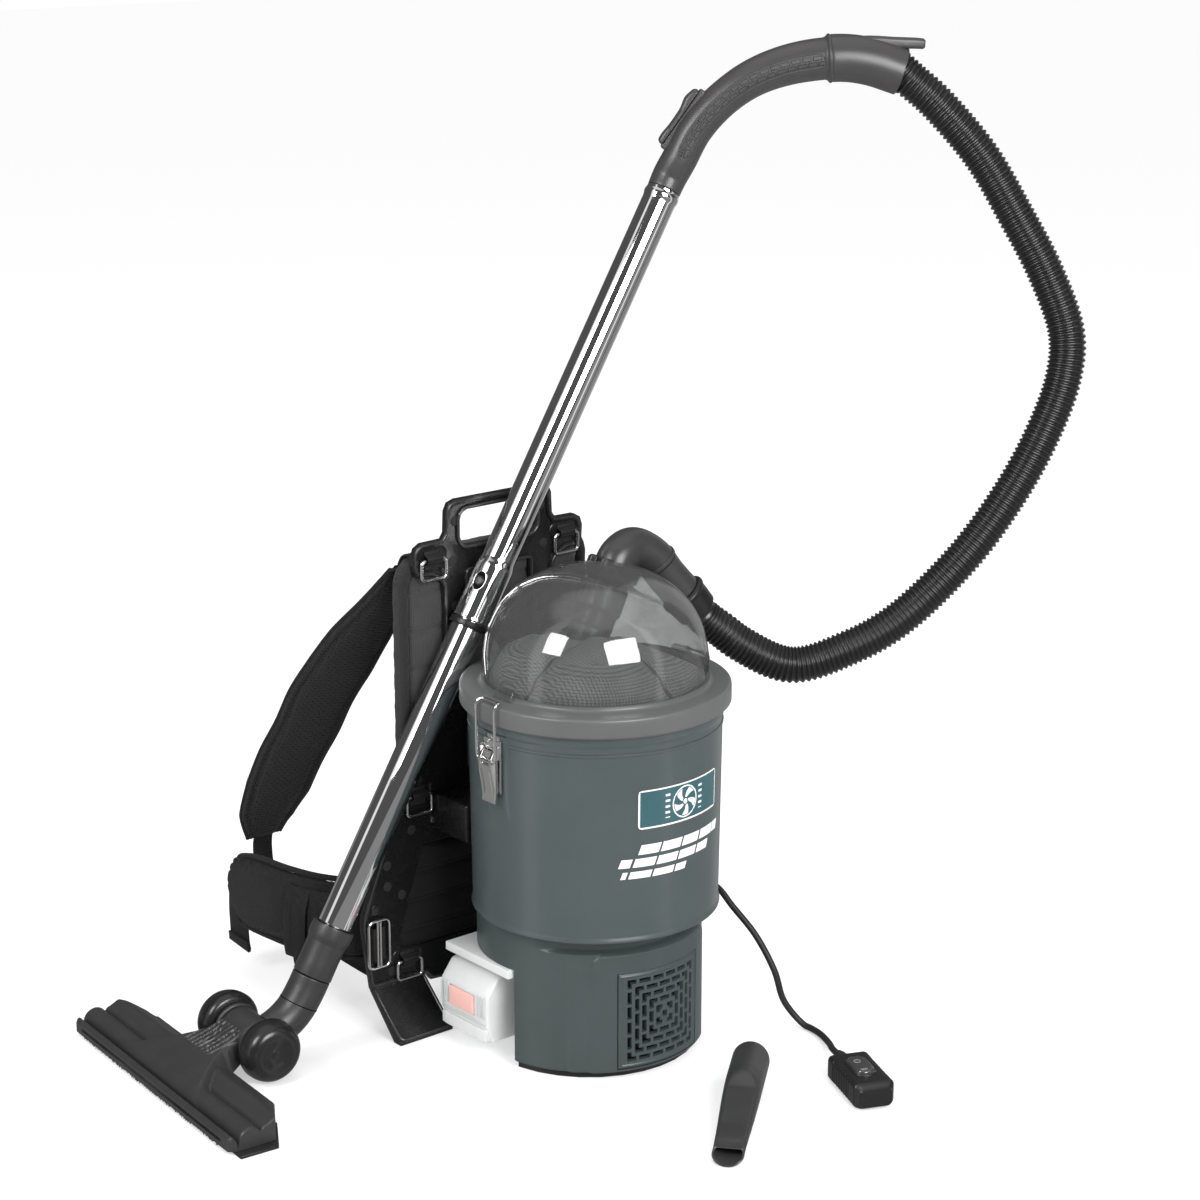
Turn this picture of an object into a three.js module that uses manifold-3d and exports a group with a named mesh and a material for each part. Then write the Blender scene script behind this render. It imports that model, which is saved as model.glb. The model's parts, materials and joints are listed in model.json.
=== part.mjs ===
// Backpack vacuum cleaner: an upright dust canister on a motor base, carried on a moulded harness plate,
// with a clear dome lid, a corrugated hose, a curved grip, a two-section tube, a floor nozzle,
// an inline switch on a lead and a loose crevice tool.
// Frame: origin on the floor under the canister axis, +Z up, +Y towards the wearer, +X to the wearer's right. Millimetres.
import * as THREE from "three";
import { mergeVertices } from "three/addons/utils/BufferGeometryUtils.js";
import Module from "manifold-3d";
const wasm = await Module();
wasm.setup();

// ---------------------------------------------------------------- driving dimensions
const CAN_R_TOP = 128.4, CAN_R_BOT = 125.8, CAN_Z0 = 153, CAN_Z1 = 366, CAN_WALL = 2.6;
const BASE_R = 116, BASE_Y = 10, BASE_Z0 = 5.8, BASE_Z1 = 152.6, BASE_WALL = 3.5;
const PANEL_PROUD = 2.4, PANEL_HALF = 38, GRILLE_HALF = 26, GRILLE_Z0 = 9.5, GRILLE_Z1 = 112.5;
const BAY_X = -62, BAY_Y0 = -9, BAY_Y1 = 103, BAY_Z = 106;
const BATT = { x0: -128, x1: -64.2, y0: 19, y1: 97, z0: 16, z1: 92.2 };
const RIM_R = 137, RIM_Z0 = 369, RIM_Z1 = 388, LID_WALL = 2.4;
const PORT = new THREE.Vector3(37.2, 44.5, 437.4), PORT_U = new THREE.Vector3(0.468, 0, 0.883).normalize();
const PORT_R = 22, BOSS_S = 38; // the flat for the inlet cuts the shoulder at this distance along the port
const TUBE_R = 17.5, TUBE_WALL = 1.6, SOCKET_R = 19.7;
const WAND_AT = new THREE.Vector3(-78, 135.5, 388), WAND_D = new THREE.Vector3(0.4916, -0.0487, 0.8694).normalize();
const WAND_TOP = 532.6, WAND_BOT = -293.3, SOCKET_S0 = 47, SOCKET_S1 = 115;
const HOSE_R = 19.4, HOSE_WALL = 2.6, CUFF_R = 23.5;
const PLATE_Y0 = 156, PLATE_Y1 = 160, PLATE_RIM_Y = 154, PAD_Y0 = 160.5, PAD_Y1 = 180, LUMBAR_Y1 = 192;
const DRUM = new THREE.Vector3(-317.5, 154.1, 32), WHEEL_R = 32, WHEEL_IN = 31, WHEEL_OUT = 62;
const NOZZLE_E = new THREE.Vector3(0.09, 0.996, 0).normalize(), NOZZLE_HALF = 172;
const LATCH_A = { rho: 136, z: 340 }, LATCH_B = { rho: 140, z: 332 }, BAIL_TOP = 391.9, BAIL_RHO = 133, WIRE = 1.5;
const STRAP_W = 72, STRAP_T = 20, BELT_H = 88, BELT_T = 12;
const SEG = 32; // facets round the canister, filter ring and lid
const CABLE_R = 3.4, LOOP_WIRE = 1.8;

// ---------------------------------------------------------------- geometry helpers
const V = (x, y, z) => new THREE.Vector3(x, y, z);
const rad = (d) => (d * Math.PI) / 180;

function raw(verts, tris) {
  const g = new THREE.BufferGeometry();
  g.setAttribute("position", new THREE.Float32BufferAttribute(verts, 3));
  g.setIndex(tris);
  return tidy(g);
}
function tidy(g) {
  let h = g.clone();
  for (const k of Object.keys(h.attributes)) if (k !== "position") h.deleteAttribute(k);
  h = mergeVertices(h, 1e-3);
  const p = h.attributes.position, ix = h.index.array, out = [];
  let vol = 0;
  const a = V(0, 0, 0), b = V(0, 0, 0), c = V(0, 0, 0);
  for (let i = 0; i < ix.length; i += 3) {
    if (ix[i] === ix[i + 1] || ix[i + 1] === ix[i + 2] || ix[i] === ix[i + 2]) continue;
    out.push(ix[i], ix[i + 1], ix[i + 2]);
    a.fromBufferAttribute(p, ix[i]); b.fromBufferAttribute(p, ix[i + 1]); c.fromBufferAttribute(p, ix[i + 2]);
    vol += a.dot(b.cross(c));
  }
  if (vol < 0) for (let i = 0; i < out.length; i += 3) [out[i + 1], out[i + 2]] = [out[i + 2], out[i + 1]];
  h.setIndex(out);
  return h;
}
const toSolid = (g) => {
  const h = tidy(g);
  return new wasm.Manifold(new wasm.Mesh({ numProp: 3, vertProperties: h.attributes.position.array, triVerts: new Uint32Array(h.index.array) }));
};
function fromSolid(s) {
  const m = s.getMesh(), n = m.numProp, v = [];
  for (let i = 0; i < m.numVert; i++) v.push(m.vertProperties[i * n], m.vertProperties[i * n + 1], m.vertProperties[i * n + 2]);
  const g = new THREE.BufferGeometry();
  g.setAttribute("position", new THREE.Float32BufferAttribute(v, 3));
  g.setIndex(Array.from(m.triVerts));
  return g;
}
const join = (...gs) => fromSolid(gs.map(toSolid).reduce((a, b) => a.add(b)));
const cut = (g, ...hs) => fromSolid(hs.map(toSolid).reduce((a, b) => a.subtract(b), toSolid(g)));
const meet = (g, h) => fromSolid(toSolid(g).intersect(toSolid(h)));
const move = (g, x, y, z) => g.clone().translate(x, y, z);
const mirrorX = (g) => tidy(g.clone().scale(-1, 1, 1));
const placed = (g, m) => tidy(g.clone().applyMatrix4(m));
// A frame with local Z along dir, local X as near as possible to xHint.
function frameZ(at, dir, xHint = V(1, 0, 0)) {
  const z = dir.clone().normalize(), x = xHint.clone().addScaledVector(z, -xHint.dot(z)).normalize(), y = z.clone().cross(x);
  return new THREE.Matrix4().makeBasis(x, y, z).setPosition(at);
}
function lathe(profile, seg) {
  const closed = !(profile[0][0] < 1e-9 && profile[profile.length - 1][0] < 1e-9);
  const v = [], t = [], rows = [];
  for (const [r, z] of profile) {
    const row = [];
    for (let i = 0; i < seg; i++) {
      if (r < 1e-9 && i) { row.push(row[0]); continue; }
      const a = (i / seg) * 2 * Math.PI;
      row.push(v.length / 3);
      v.push(r * Math.cos(a), r * Math.sin(a), z);
    }
    rows.push(row);
  }
  const n = profile.length, last = closed ? n : n - 1;
  for (let k = 0; k < last; k++) {
    const A = rows[k], B = rows[(k + 1) % n];
    for (let i = 0; i < seg; i++) {
      const j = (i + 1) % seg;
      t.push(A[i], A[j], B[j], A[i], B[j], B[i]);
    }
  }
  return raw(v, t);
}
const cyl = (r, z0, z1, seg = 24) => lathe([[0, z0], [r, z0], [r, z1], [0, z1]], seg);
const ring = (r0, r1, z0, z1, seg = 24) => lathe([[r0, z0], [r1, z0], [r1, z1], [r0, z1]], seg);
function box(x0, x1, y0, y1, z0, z1) {
  const g = new THREE.BoxGeometry(x1 - x0, y1 - y0, z1 - z0);
  return tidy(g.translate((x0 + x1) / 2, (y0 + y1) / 2, (z0 + z1) / 2));
}
// A block between two radii and two angles, the angle measured from -Y towards +X, about (cx, cy).
function arcSlab(r0, r1, z0, z1, a0, a1, n, cx = 0, cy = 0, slant = 0) {
  const v = [], t = [];
  for (let i = 0; i <= n; i++)
    for (const [r, z] of [[r0, z0], [r1, z0], [r1, z1], [r0, z1]]) {
      const a = rad(a0 + ((a1 - a0) * i) / n + slant * ((z - z0) / (z1 - z0)));
      v.push(cx + r * Math.sin(a), cy - r * Math.cos(a), z);
    }
  for (let i = 0; i < n; i++)
    for (let k = 0; k < 4; k++) {
      const a = i * 4 + k, b = i * 4 + ((k + 1) % 4);
      t.push(a, b, b + 4, a, b + 4, a + 4);
    }
  const e = n * 4;
  t.push(0, 2, 1, 0, 3, 2, e, e + 1, e + 2, e, e + 2, e + 3);
  return raw(v, t);
}
const circ = (r, n, ry = r) => Array.from({ length: n }, (_, i) => [r * Math.cos((2 * Math.PI * i) / n), ry * Math.sin((2 * Math.PI * i) / n)]);
function rrect(w, h, r, n = 2) {
  const p = [];
  for (const [sx, sy, a0] of [[1, 1, 0], [-1, 1, 90], [-1, -1, 180], [1, -1, 270]])
    for (let i = 0; i <= n; i++) {
      const a = rad(a0 + (90 * i) / n);
      p.push([sx * (w / 2 - r) + r * Math.cos(a), sy * (h / 2 - r) + r * Math.sin(a)]);
    }
  return p;
}
// Sweeps a section (function of index, giving [u, v] points) along a path. v follows the up hint, u = tangent x v.
function sweep(path, sec, up, inner) {
  const n = path.length, v = [], t = [];
  const f = typeof sec === "function" ? sec : () => sec;
  const tan = path.map((p, i) => path[Math.min(i + 1, n - 1)].clone().sub(path[Math.max(i - 1, 0)]).normalize());
  let vv = (up || (Math.abs(tan[0].z) < 0.9 ? V(0, 0, 1) : V(1, 0, 0))).clone();
  const frames = tan.map((T) => {
    const src = up ? up.clone() : vv;
    const w = src.addScaledVector(T, -src.dot(T)).normalize();
    vv = w.clone();
    return [T.clone().cross(w), w];
  });
  const put = (pts, i) => pts.forEach(([a, b]) => { const q = path[i].clone().addScaledVector(frames[i][0], a).addScaledVector(frames[i][1], b); v.push(q.x, q.y, q.z); });
  const m = f(0).length;
  for (let i = 0; i < n; i++) put(f(i), i);
  for (let i = 0; i < n - 1; i++) for (let k = 0; k < m; k++) { const a = i * m + k, b = i * m + ((k + 1) % m); t.push(a, b, b + m, a, b + m, a + m); }
  const end = (n - 1) * m;
  if (!inner) {
    const c = THREE.ShapeUtils.triangulateShape(f(0).map(([a, b]) => new THREE.Vector2(a, b)), []);
    const d = THREE.ShapeUtils.triangulateShape(f(n - 1).map(([a, b]) => new THREE.Vector2(a, b)), []);
    c.forEach(([a, b, e]) => t.push(a, e, b));
    d.forEach(([a, b, e]) => t.push(end + a, end + b, end + e));
  } else {
    const g = typeof inner === "function" ? inner : () => inner, o = v.length / 3;
    for (let i = 0; i < n; i++) put(g(i), i);
    for (let i = 0; i < n - 1; i++) for (let k = 0; k < m; k++) { const a = o + i * m + k, b = o + i * m + ((k + 1) % m); t.push(a, b + m, b, a, a + m, b + m); }
    for (let k = 0; k < m; k++) {
      const l = (k + 1) % m;
      t.push(k, o + l, l, k, o + k, o + l);
      t.push(end + k, end + l, o + end + l, end + k, o + end + l, o + end + k);
    }
  }
  return raw(v, t);
}
function loopSweep(path, sec) {
  const n = path.length, m = sec.length, v = [], t = [], N = V(0, 0, 0);
  path.forEach((p, i) => N.add(p.clone().cross(path[(i + 1) % n])));
  N.normalize();
  for (let i = 0; i < n; i++) {
    const T = path[(i + 1) % n].clone().sub(path[(i + n - 1) % n]).normalize(), U = T.clone().cross(N).normalize();
    sec.forEach(([a, b]) => { const q = path[i].clone().addScaledVector(U, a).addScaledVector(N, b); v.push(q.x, q.y, q.z); });
  }
  for (let i = 0; i < n; i++) for (let k = 0; k < m; k++) {
    const a = i * m + k, b = i * m + ((k + 1) % m), c = ((i + 1) % n) * m + k, d = ((i + 1) % n) * m + ((k + 1) % m);
    t.push(a, b, d, a, d, c);
  }
  return raw(v, t);
}
const smooth = (pts, n) => new THREE.CatmullRomCurve3(pts, false, "centripetal").getPoints(n);
// A prism of a polygon of [x, z] points, from y0 to y1, with holes.
const turned = (poly, clockwise) => { const p = poly.map(([x, z]) => new THREE.Vector2(x, z)); return THREE.ShapeUtils.isClockWise(p) === clockwise ? p : p.reverse(); };
function slab(poly, y0, y1, holes = []) {
  const s = new THREE.Shape(turned(poly, false));
  s.holes = holes.map((h) => new THREE.Path(turned(h, true)));
  const g = new THREE.ExtrudeGeometry(s, { depth: y1 - y0, bevelEnabled: false, curveSegments: 4 });
  g.rotateX(Math.PI / 2);
  return tidy(g.translate(0, y1, 0));
}
const both = (half) => [...half, ...half.slice().reverse().map(([x, z]) => [-x, z])];
// A cushion: the polygon of [x, z] points, inset at both faces.
function cushion(poly, y0, y1, inset) {
  const v = [], t = [], n = poly.length;
  const cx = poly.reduce((s, p) => s + p[0], 0) / n, cz = poly.reduce((s, p) => s + p[1], 0) / n;
  const rings = [[y0, inset], [y0 + (y1 - y0) * 0.3, 0], [y0 + (y1 - y0) * 0.7, 0], [y1, inset]];
  for (const [y, d] of rings) for (const [x, z] of poly) { const L = Math.hypot(x - cx, z - cz); v.push(x - ((x - cx) / L) * d, y, z - ((z - cz) / L) * d); }
  for (let i = 0; i < 3; i++) for (let k = 0; k < n; k++) { const a = i * n + k, b = i * n + ((k + 1) % n); t.push(a, b, b + n, a, b + n, a + n); }
  const c = THREE.ShapeUtils.triangulateShape(poly.map(([x, z]) => new THREE.Vector2(x, z)), []);
  c.forEach(([a, b, e]) => { t.push(a, e, b); t.push(3 * n + a, 3 * n + b, 3 * n + e); });
  return raw(v, t);
}
const rot = (poly, cx, cz) => poly.map(([x, z]) => [x + cx, z + cz]);

// ---------------------------------------------------------------- materials
const mat = (color, roughness, metalness = 0, more = {}) => new THREE.MeshStandardMaterial({ color, roughness, metalness, ...more });
const M = {
  shell: mat(0x505a5a, 0.32), darkPlastic: mat(0x232323, 0.45), plate: mat(0x262626, 0.42), grey: mat(0x585858, 0.5),
  clear: mat(0x9aa0a0, 0.08, 0, { transparent: true, opacity: 0.35 }), chrome: mat(0xd8d8d8, 0.12, 1), steel: mat(0xc6c6c4, 0.28, 1),
  grip: mat(0x464445, 0.5), nozzle: mat(0x3c3c3c, 0.6), hose: mat(0x1f1f1f, 0.3), fabric: mat(0x3f3f3f, 0.95), mesh: mat(0x2a2a2a, 0.98),
  filter: mat(0x4a4a4a, 0.95), rubber: mat(0x2b2b2b, 0.8), pale: mat(0xcdcfcf, 0.4), paleRed: mat(0xf0cdc8, 0.4), white: mat(0xe8e8e8, 0.5),
  blue: mat(0x3f6f8f, 0.4), foam: mat(0x303030, 1), motor: mat(0x8a8d90, 0.35, 0.9), bristle: mat(0x1a1a1a, 0.9),
};
const group = new THREE.Group();
function add(name, g, material) {
  const h = g.toNonIndexed ? (g.index ? g.toNonIndexed() : g.clone()) : g;
  h.computeVertexNormals();
  const m = new THREE.Mesh(h, material);
  m.name = name;
  group.add(m);
}

// ---------------------------------------------------------------- canister and motor base
add("canister_body", lathe([
  [126.6, CAN_Z0], [127.2, 155.5], [CAN_R_BOT, 158], [CAN_R_TOP, 356], [130.2, 358.5], [130.2, CAN_Z1], [125.2, CAN_Z1],
  [125.2, 356], [CAN_R_BOT - CAN_WALL, 160.5], [42, 160.5], [42, 157], [110, 157], [122.5, CAN_Z0]], SEG), M.shell);

const baseCyl = (r, z0, z1, seg = 36) => move(cyl(r, z0, z1, seg), 0, BASE_Y, 0);
let base = join(baseCyl(BASE_R, BASE_Z0, BASE_Z1), arcSlab(100, BASE_R + PANEL_PROUD, BASE_Z0, BASE_Z1, -PANEL_HALF, PANEL_HALF, 10, 0, BASE_Y), box(-45, 45, 100, 155.7, 43, 76));
base = cut(base, baseCyl(BASE_R - BASE_WALL, BASE_Z0 - 1, BASE_Z1 - 4));
base = join(base, meet(baseCyl(BASE_R - 1, BASE_Z0, BASE_Z1 - 2), box(-130, BAY_X + 2, BAY_Y0 - 2, BAY_Y1 + 2, BASE_Z0, BAY_Z + 2)));
base = cut(base, box(-150, BAY_X, BAY_Y0, BAY_Y1, -1, BAY_Z), cyl(44, 140, 160, 24),
  arcSlab(106, 124, GRILLE_Z0 - 0.4, GRILLE_Z1 + 0.4, -GRILLE_HALF - 0.25, GRILLE_HALF + 0.25, 6, 0, BASE_Y),
  placed(cyl(4.2, -20, 20, 10), frameZ(V(109, 50, 131), V(1, 0.36, 0))));
add("base_housing", base, M.shell);

let grille = arcSlab(113, BASE_R + PANEL_PROUD, GRILLE_Z0, GRILLE_Z1, -GRILLE_HALF, GRILLE_HALF, 10, 0, BASE_Y);
const slots = [];
{
  const zc = (GRILLE_Z0 + GRILLE_Z1) / 2, k = 180 / Math.PI / BASE_R;
  const slot = (u, z, w, h) => slots.push(arcSlab(108, 124, z - h / 2, z + h / 2, (u - w / 2) * k, (u + w / 2) * k, 1, 0, BASE_Y));
  for (const [r, cuts] of [[9, 1], [24, 2], [40, 2]]) {
    const w = (2 * r) / cuts;
    for (let i = 0; i < cuts; i++) {
      const c = -r + w * (i + 0.5);
      slot(c, zc + r + 1, w - 5, 4.6);
      slot(c, zc - r - 1, w - 5, 4.6);
      slot(r + 1, zc + c, 4.6, w - 5);
      slot(-r - 1, zc + c, 4.6, w - 5);
    }
  }
}
add("exhaust_grille", cut(grille, ...slots), M.shell);
add("base_cover", cut(baseCyl(112, 0, 5.4, 32), box(-150, BAY_X + 0.4, BAY_Y0 - 0.4, BAY_Y1 + 0.4, -1, 7)), M.darkPlastic);
add("motor_body", lathe([[0, 8], [34, 8], [46, 14], [47, 20], [47, 90], [40, 97], [16, 97], [16, 102], [5, 102], [5, 119], [0, 119]], 20), M.motor);
{
  const parts = [ring(5.4, 12, 103, 121, 20), ring(11, 53, 104, 107, 20)];
  for (let i = 0; i < 7; i++) { const b = box(10, 50, -1, 1, 106, 118); b.rotateZ(rad(i * 360 / 7)); parts.push(b); }
  add("fan_impeller", join(...parts), M.pale);
}
add("fan_shroud", lathe([[50, 99], [60, 99], [60, 148], [42, 148], [42, 145], [57, 145], [57, 101.5], [50, 101.5]], 24), M.darkPlastic);
add("motor_filter", cyl(62, 160.9, 172, 20), M.foam);
add("badge_icon", arcSlab(128.2, 129.2, 270, 311, -24, 31, 8), M.blue);
add("badge_stripes", arcSlab(127.6, 128.5, 218, 256, -36, 36, 10, 0, 0, 6), M.white);

// ---------------------------------------------------------------- battery platform
add("battery_adapter", join(box(-120, BAY_X - 0.5, -6, 98, 96, 105.5), box(-112, BAY_X - 0.5, 22, 94, 92.8, 96.5)), M.pale);
{
  const p = BATT, c = 7;
  let g = slab([[p.x0 + c, p.z0], [p.x1, p.z0], [p.x1, p.z1], [p.x0 + 14, p.z1], [p.x0, p.z1 - 22], [p.x0, p.z0 + c]], p.y0, p.y1);
  g = cut(g, box(-132, -122, 39.5, 80.5, 44, 66));
  add("battery_pack", g, M.pale);
  add("battery_latch", box(-130.2, -126.4, 40, 80, 44.5, 65.5), M.paleRed);
}

// ---------------------------------------------------------------- filter, lid and inlet
add("filter_ring", lathe([[110, 366.6], [134.2, 366.6], [134.2, 385.6], [124, 385.6], [121, 381], [110, 381]], SEG), M.grey);
{
  const lobes = 4, n = 24, lv = [[104, 381.6], [100, 398], [86, 418], [58, 434], [26, 439]];
  // the cloth stays under the facet of the recess and clear of the inlet stub
  const under = (x, y, z, d) => Math.min(z, 476 - d - 0.53 * (x + 60), 396 - d + 1.1 * Math.max(0, Math.hypot(x - 24, y - 44) - 27));
  const v = [], t = [], rows = [];
  const putRow = (r, z, off) => {
    const row = [];
    for (let i = 0; i < n; i++) {
      const a = (2 * Math.PI * i) / n, w = 1 + 0.1 * Math.cos(lobes * a) * Math.min(1, (z - 381) / 30), q = (r - off) * w;
      row.push(v.length / 3);
      v.push(q * Math.cos(a), q * Math.sin(a), z < 382 ? z : under(q * Math.cos(a), q * Math.sin(a), z, 0) - off);
    }
    rows.push(row);
  };
  lv.forEach(([r, z]) => putRow(r, z, 0));
  const o = rows.length;
  const topA = v.length / 3; v.push(0, 0, 438);
  lv.slice().reverse().forEach(([r, z]) => putRow(r, z, 2));
  const topB = v.length / 3; v.push(0, 0, 435.6);
  for (let k = 0; k < rows.length; k++) {
    if (k === o - 1) continue;
    const A = rows[k], B = rows[(k + 1) % rows.length];
    for (let i = 0; i < n; i++) { const j = (i + 1) % n; t.push(A[i], A[j], B[j], A[i], B[j], B[i]); }
  }
  for (let i = 0; i < n; i++) { const j = (i + 1) % n; t.push(rows[o - 1][i], rows[o - 1][j], topA); t.push(rows[o][j], rows[o][i], topB); }
  const bag = raw(v, t);
  // a pocket under the inlet keeps the cloth clear of the inlet stub
  const pocket = placed(cyl(24, -17, 30, 14), frameZ(PORT, PORT_U));
  add("filter_bag", cut(bag, pocket), M.filter);
}
{
  const outer = [[114.8, 394], [113.6, 420], [108.5, 443], [97, 465], [79, 483], [52, 497.5], [24, 503.5]];
  const inr = outer.map(([r, z]) => { const k = Math.min(1, Math.max(0, (z - 394) / 109)); return [r - LID_WALL * (1 - 0.55 * k), z - LID_WALL * k]; });
  const lidOut = lathe([[0, RIM_Z0], [RIM_R, RIM_Z0], [RIM_R, 387], [136, RIM_Z1], [117.5, 389], ...outer, [0, 504.6]], SEG);
  const lidIn = lathe([[0, RIM_Z0 - 1], [134.7, RIM_Z0 - 1], [134.7, 386], [113, 386], ...inr, [0, 504.6 - LID_WALL]], SEG);
  // the flat that carries the inlet, cut into the rear shoulder square to the port
  const notch = (d) => placed(box(-45 - d, 120, -36 - d, 36 + d, 0, 300), frameZ(PORT.clone().addScaledVector(PORT_U, BOSS_S - d), PORT_U));
  let lid = cut(cut(lidOut, notch(0)), cut(lidIn, notch(LID_WALL)));
  lid = cut(lid, placed(cyl(PORT_R + 0.4, 5, 60, 24), frameZ(PORT, PORT_U)));
  for (const s of [-1, 1]) lid = join(lid, box(s > 0 ? 112.9 : -117, s > 0 ? 117 : -112.9, -14, 14, 388, 400));
  add("dome_lid", lid, M.clear);
}
const portAt = (s) => PORT.clone().addScaledVector(PORT_U, s);
const along = (g, at, dir) => placed(g, frameZ(at, dir));
add("inlet_tube", along(lathe([[19.5, -14], [PORT_R, -10], [PORT_R, BOSS_S + 0.5], [26, BOSS_S + 0.5], [26, BOSS_S + 3], [PORT_R, BOSS_S + 3], [PORT_R, BOSS_S + 8], [19.5, BOSS_S + 8]], 20), PORT, PORT_U), M.darkPlastic);

// ---------------------------------------------------------------- toggle latches
for (const [side, s] of [["L", -1], ["R", 1]]) {
  const at = (g) => (s < 0 ? mirrorX(g) : g); // built on +X, where rho is x
  let b = box(130.6, 132.2, -13, 13, 298, 352);
  b = join(b, box(131.5, 138.4, -12.6, -10.8, 334, 347), box(131.5, 138.4, 10.8, 12.6, 334, 347), box(128.75, 131, -9, 9, 300, 356));
  b = cut(b, cyl(CAN_R_TOP + 0.45, 290, 360, SEG));
  add("latch_base_" + side, at(b), M.steel);
  // lever: a channel plate that hangs from the pivot
  let l = join(slab([[133.6, 342], [137.2, 343.2], [142, 335], [141.5, 324], [137, 300], [138, 288], [135.8, 288], [133.2, 300]], -10.3, 10.3));
  l = cut(l, slab([[137.4, 352], [150, 352], [150, 328], [140, 328], [137.4, 339]], -6, 6));
  add("latch_lever_" + side, at(l), M.steel);
  const y = 14.4, p = [];
  p.push(V(LATCH_B.rho, -11, LATCH_B.z), V(LATCH_B.rho, -y + 1, LATCH_B.z + 1), V(LATCH_B.rho, -y, LATCH_B.z + 5), V(LATCH_B.rho + 0.6, -y, 384), V(139, -y, 390.6), V(BAIL_RHO + 2, -y + 0.5, BAIL_TOP), V(BAIL_RHO, -y + 4, BAIL_TOP));
  const q = p.slice().reverse().map((a) => V(a.x, -a.y, a.z));
  add("latch_bail_" + side, at(sweep([...p, ...q], circ(WIRE, 6))), M.steel);
}

// ---------------------------------------------------------------- inlet elbow, hose, grip
const elbowPath = smooth([portAt(48), V(69, 45.5, 493.5), V(89.2, 47.5, 499.5), V(110.9, 42.7, 487.6), V(126.8, 37.2, 465.7), V(142, 31.5, 446.5)], 9);
add("elbow", sweep(elbowPath, circ(21, 12), V(0, 1, 0), circ(17.5, 12)), M.grip);
{
  let c = along(ring(23.3, 27.2, 42, 57, 16), PORT, PORT_U);
  c = cut(c, ...[0, 60, 120].map((a) => placed(box(-40, 40, -4, 4, 50, 70).rotateZ(rad(a)), frameZ(PORT, PORT_U))));
  add("elbow_collar", c, M.darkPlastic);
}
const cuffDir = elbowPath[elbowPath.length - 1].clone().sub(elbowPath[elbowPath.length - 2]).normalize(), cuffAt = V(142, 31.5, 446.5).addScaledVector(cuffDir, 0.4);
add("hose_cuff", along(lathe([[17.5, 0], [CUFF_R, 0], [CUFF_R + 1.5, 3], [CUFF_R, 6], [22, 28], [17.5, 28]], 16), cuffAt, cuffDir), M.darkPlastic);
const hoseStart = cuffAt.clone().addScaledVector(cuffDir, 29.4);
const hosePts = [hoseStart, hoseStart.clone().addScaledVector(cuffDir, 9), V(181, 12.5, 403), V(199.4, -0.3, 385.5), V(242.7, -31.3, 361.7), V(294.9, -67.3, 379.7), V(335.8, -95.1, 407.8), V(390.7, -130.7, 471), V(430.9, -154, 533.7), V(462.1, -169.8, 596.1), V(484.5, -178.1, 658), V(490.6, -175.4, 704.2), V(478.8, -155, 765.4), V(458.4, -127.5, 826.3), V(435, -97.4, 886.8), V(400.3, -61.8, 942.2), V(384, -45.6, 961.4), V(379.6, -41.9, 966.4)];
add("hose", sweep(smooth(hosePts, 26), circ(HOSE_R, 8), undefined, circ(HOSE_R - HOSE_WALL, 8)), M.hose);

const wandAt = (s) => WAND_AT.clone().addScaledVector(WAND_D, s);
const gripPts = [wandAt(WAND_TOP + 0.4), wandAt(WAND_TOP + 16), V(197.5, 101.6, 881.8), V(210.5, 92.1, 912.2), V(230.5, 77, 940.4), V(256.5, 56.5, 964), V(288, 32, 978.5), V(326, 1.6, 984.5), V(350, -17.5, 981), V(376, -38.8, 970.4)];
const gripR = [17.6, 18.2, 18.6, 19, 19, 19.5, 21, 24, 24.8, 24];
let grip = sweep(gripPts, (i) => circ(gripR[i], 12), V(0.643, 0.766, 0), (i) => circ(gripR[i] - 3, 12));
const prong = sweep([V(346, -14.5, 1003.8), V(371, -34.5, 1001.5), V(393, -52, 1000.5)], rrect(9, 5, 2, 1), V(0, 0, 1));
grip = join(grip, prong);
add("grip_handle", grip, M.grip);
{
  const a = V(197.5, 101.6, 881.8), b = V(230.5, 77, 940.4), m = a.clone().add(b).multiplyScalar(0.5), d = b.clone().sub(a).normalize();
  const n = V(-0.659, 0.553, 0.5); n.addScaledVector(d, -n.dot(d)).normalize();
  const f = new THREE.Matrix4().makeBasis(d, n.clone().cross(d).negate(), n).setPosition(m.addScaledVector(n, 24.4));
  add("air_slider", placed(join(box(-33, 33, -8, 8, 0, 4), box(10, 26, -6, 6, 3, 8)), f), M.grip);
}

// ---------------------------------------------------------------- tube
const onWand = (g) => placed(g, frameZ(WAND_AT, WAND_D, V(0, 1, 0)));
const ti = TUBE_R - TUBE_WALL;
const buttonDir = V(-1, -0.35, 0).addScaledVector(WAND_D, -V(-1, -0.35, 0).dot(WAND_D)).normalize();
const buttonHole = (r, z0, z1) => placed(cyl(r, z0, z1, 10), frameZ(wandAt(88), buttonDir));
add("wand_upper", cut(onWand(lathe([[TUBE_R + 0.4, SOCKET_S0], [SOCKET_R + 0.6, SOCKET_S0 + 1], [SOCKET_R, SOCKET_S0 + 4], [SOCKET_R, SOCKET_S1 - 6], [TUBE_R, SOCKET_S1], [TUBE_R, 522], [TUBE_R + 1, 526], [TUBE_R, 530], [TUBE_R, WAND_TOP], [ti, WAND_TOP], [ti, SOCKET_S1], [TUBE_R + 0.4, SOCKET_S1 - 6]], 16)), buttonHole(6, 10, 30)), M.chrome);
add("wand_ring", onWand(ring(TUBE_R + 0.4, 21.6, SOCKET_S0 - 7.4, SOCKET_S0 - 0.4, 16)), M.darkPlastic);
add("wand_lower", cut(onWand(ring(ti, TUBE_R, WAND_BOT, SOCKET_S1 - 8, 16)), buttonHole(6, 10, 30)), M.chrome);
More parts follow.
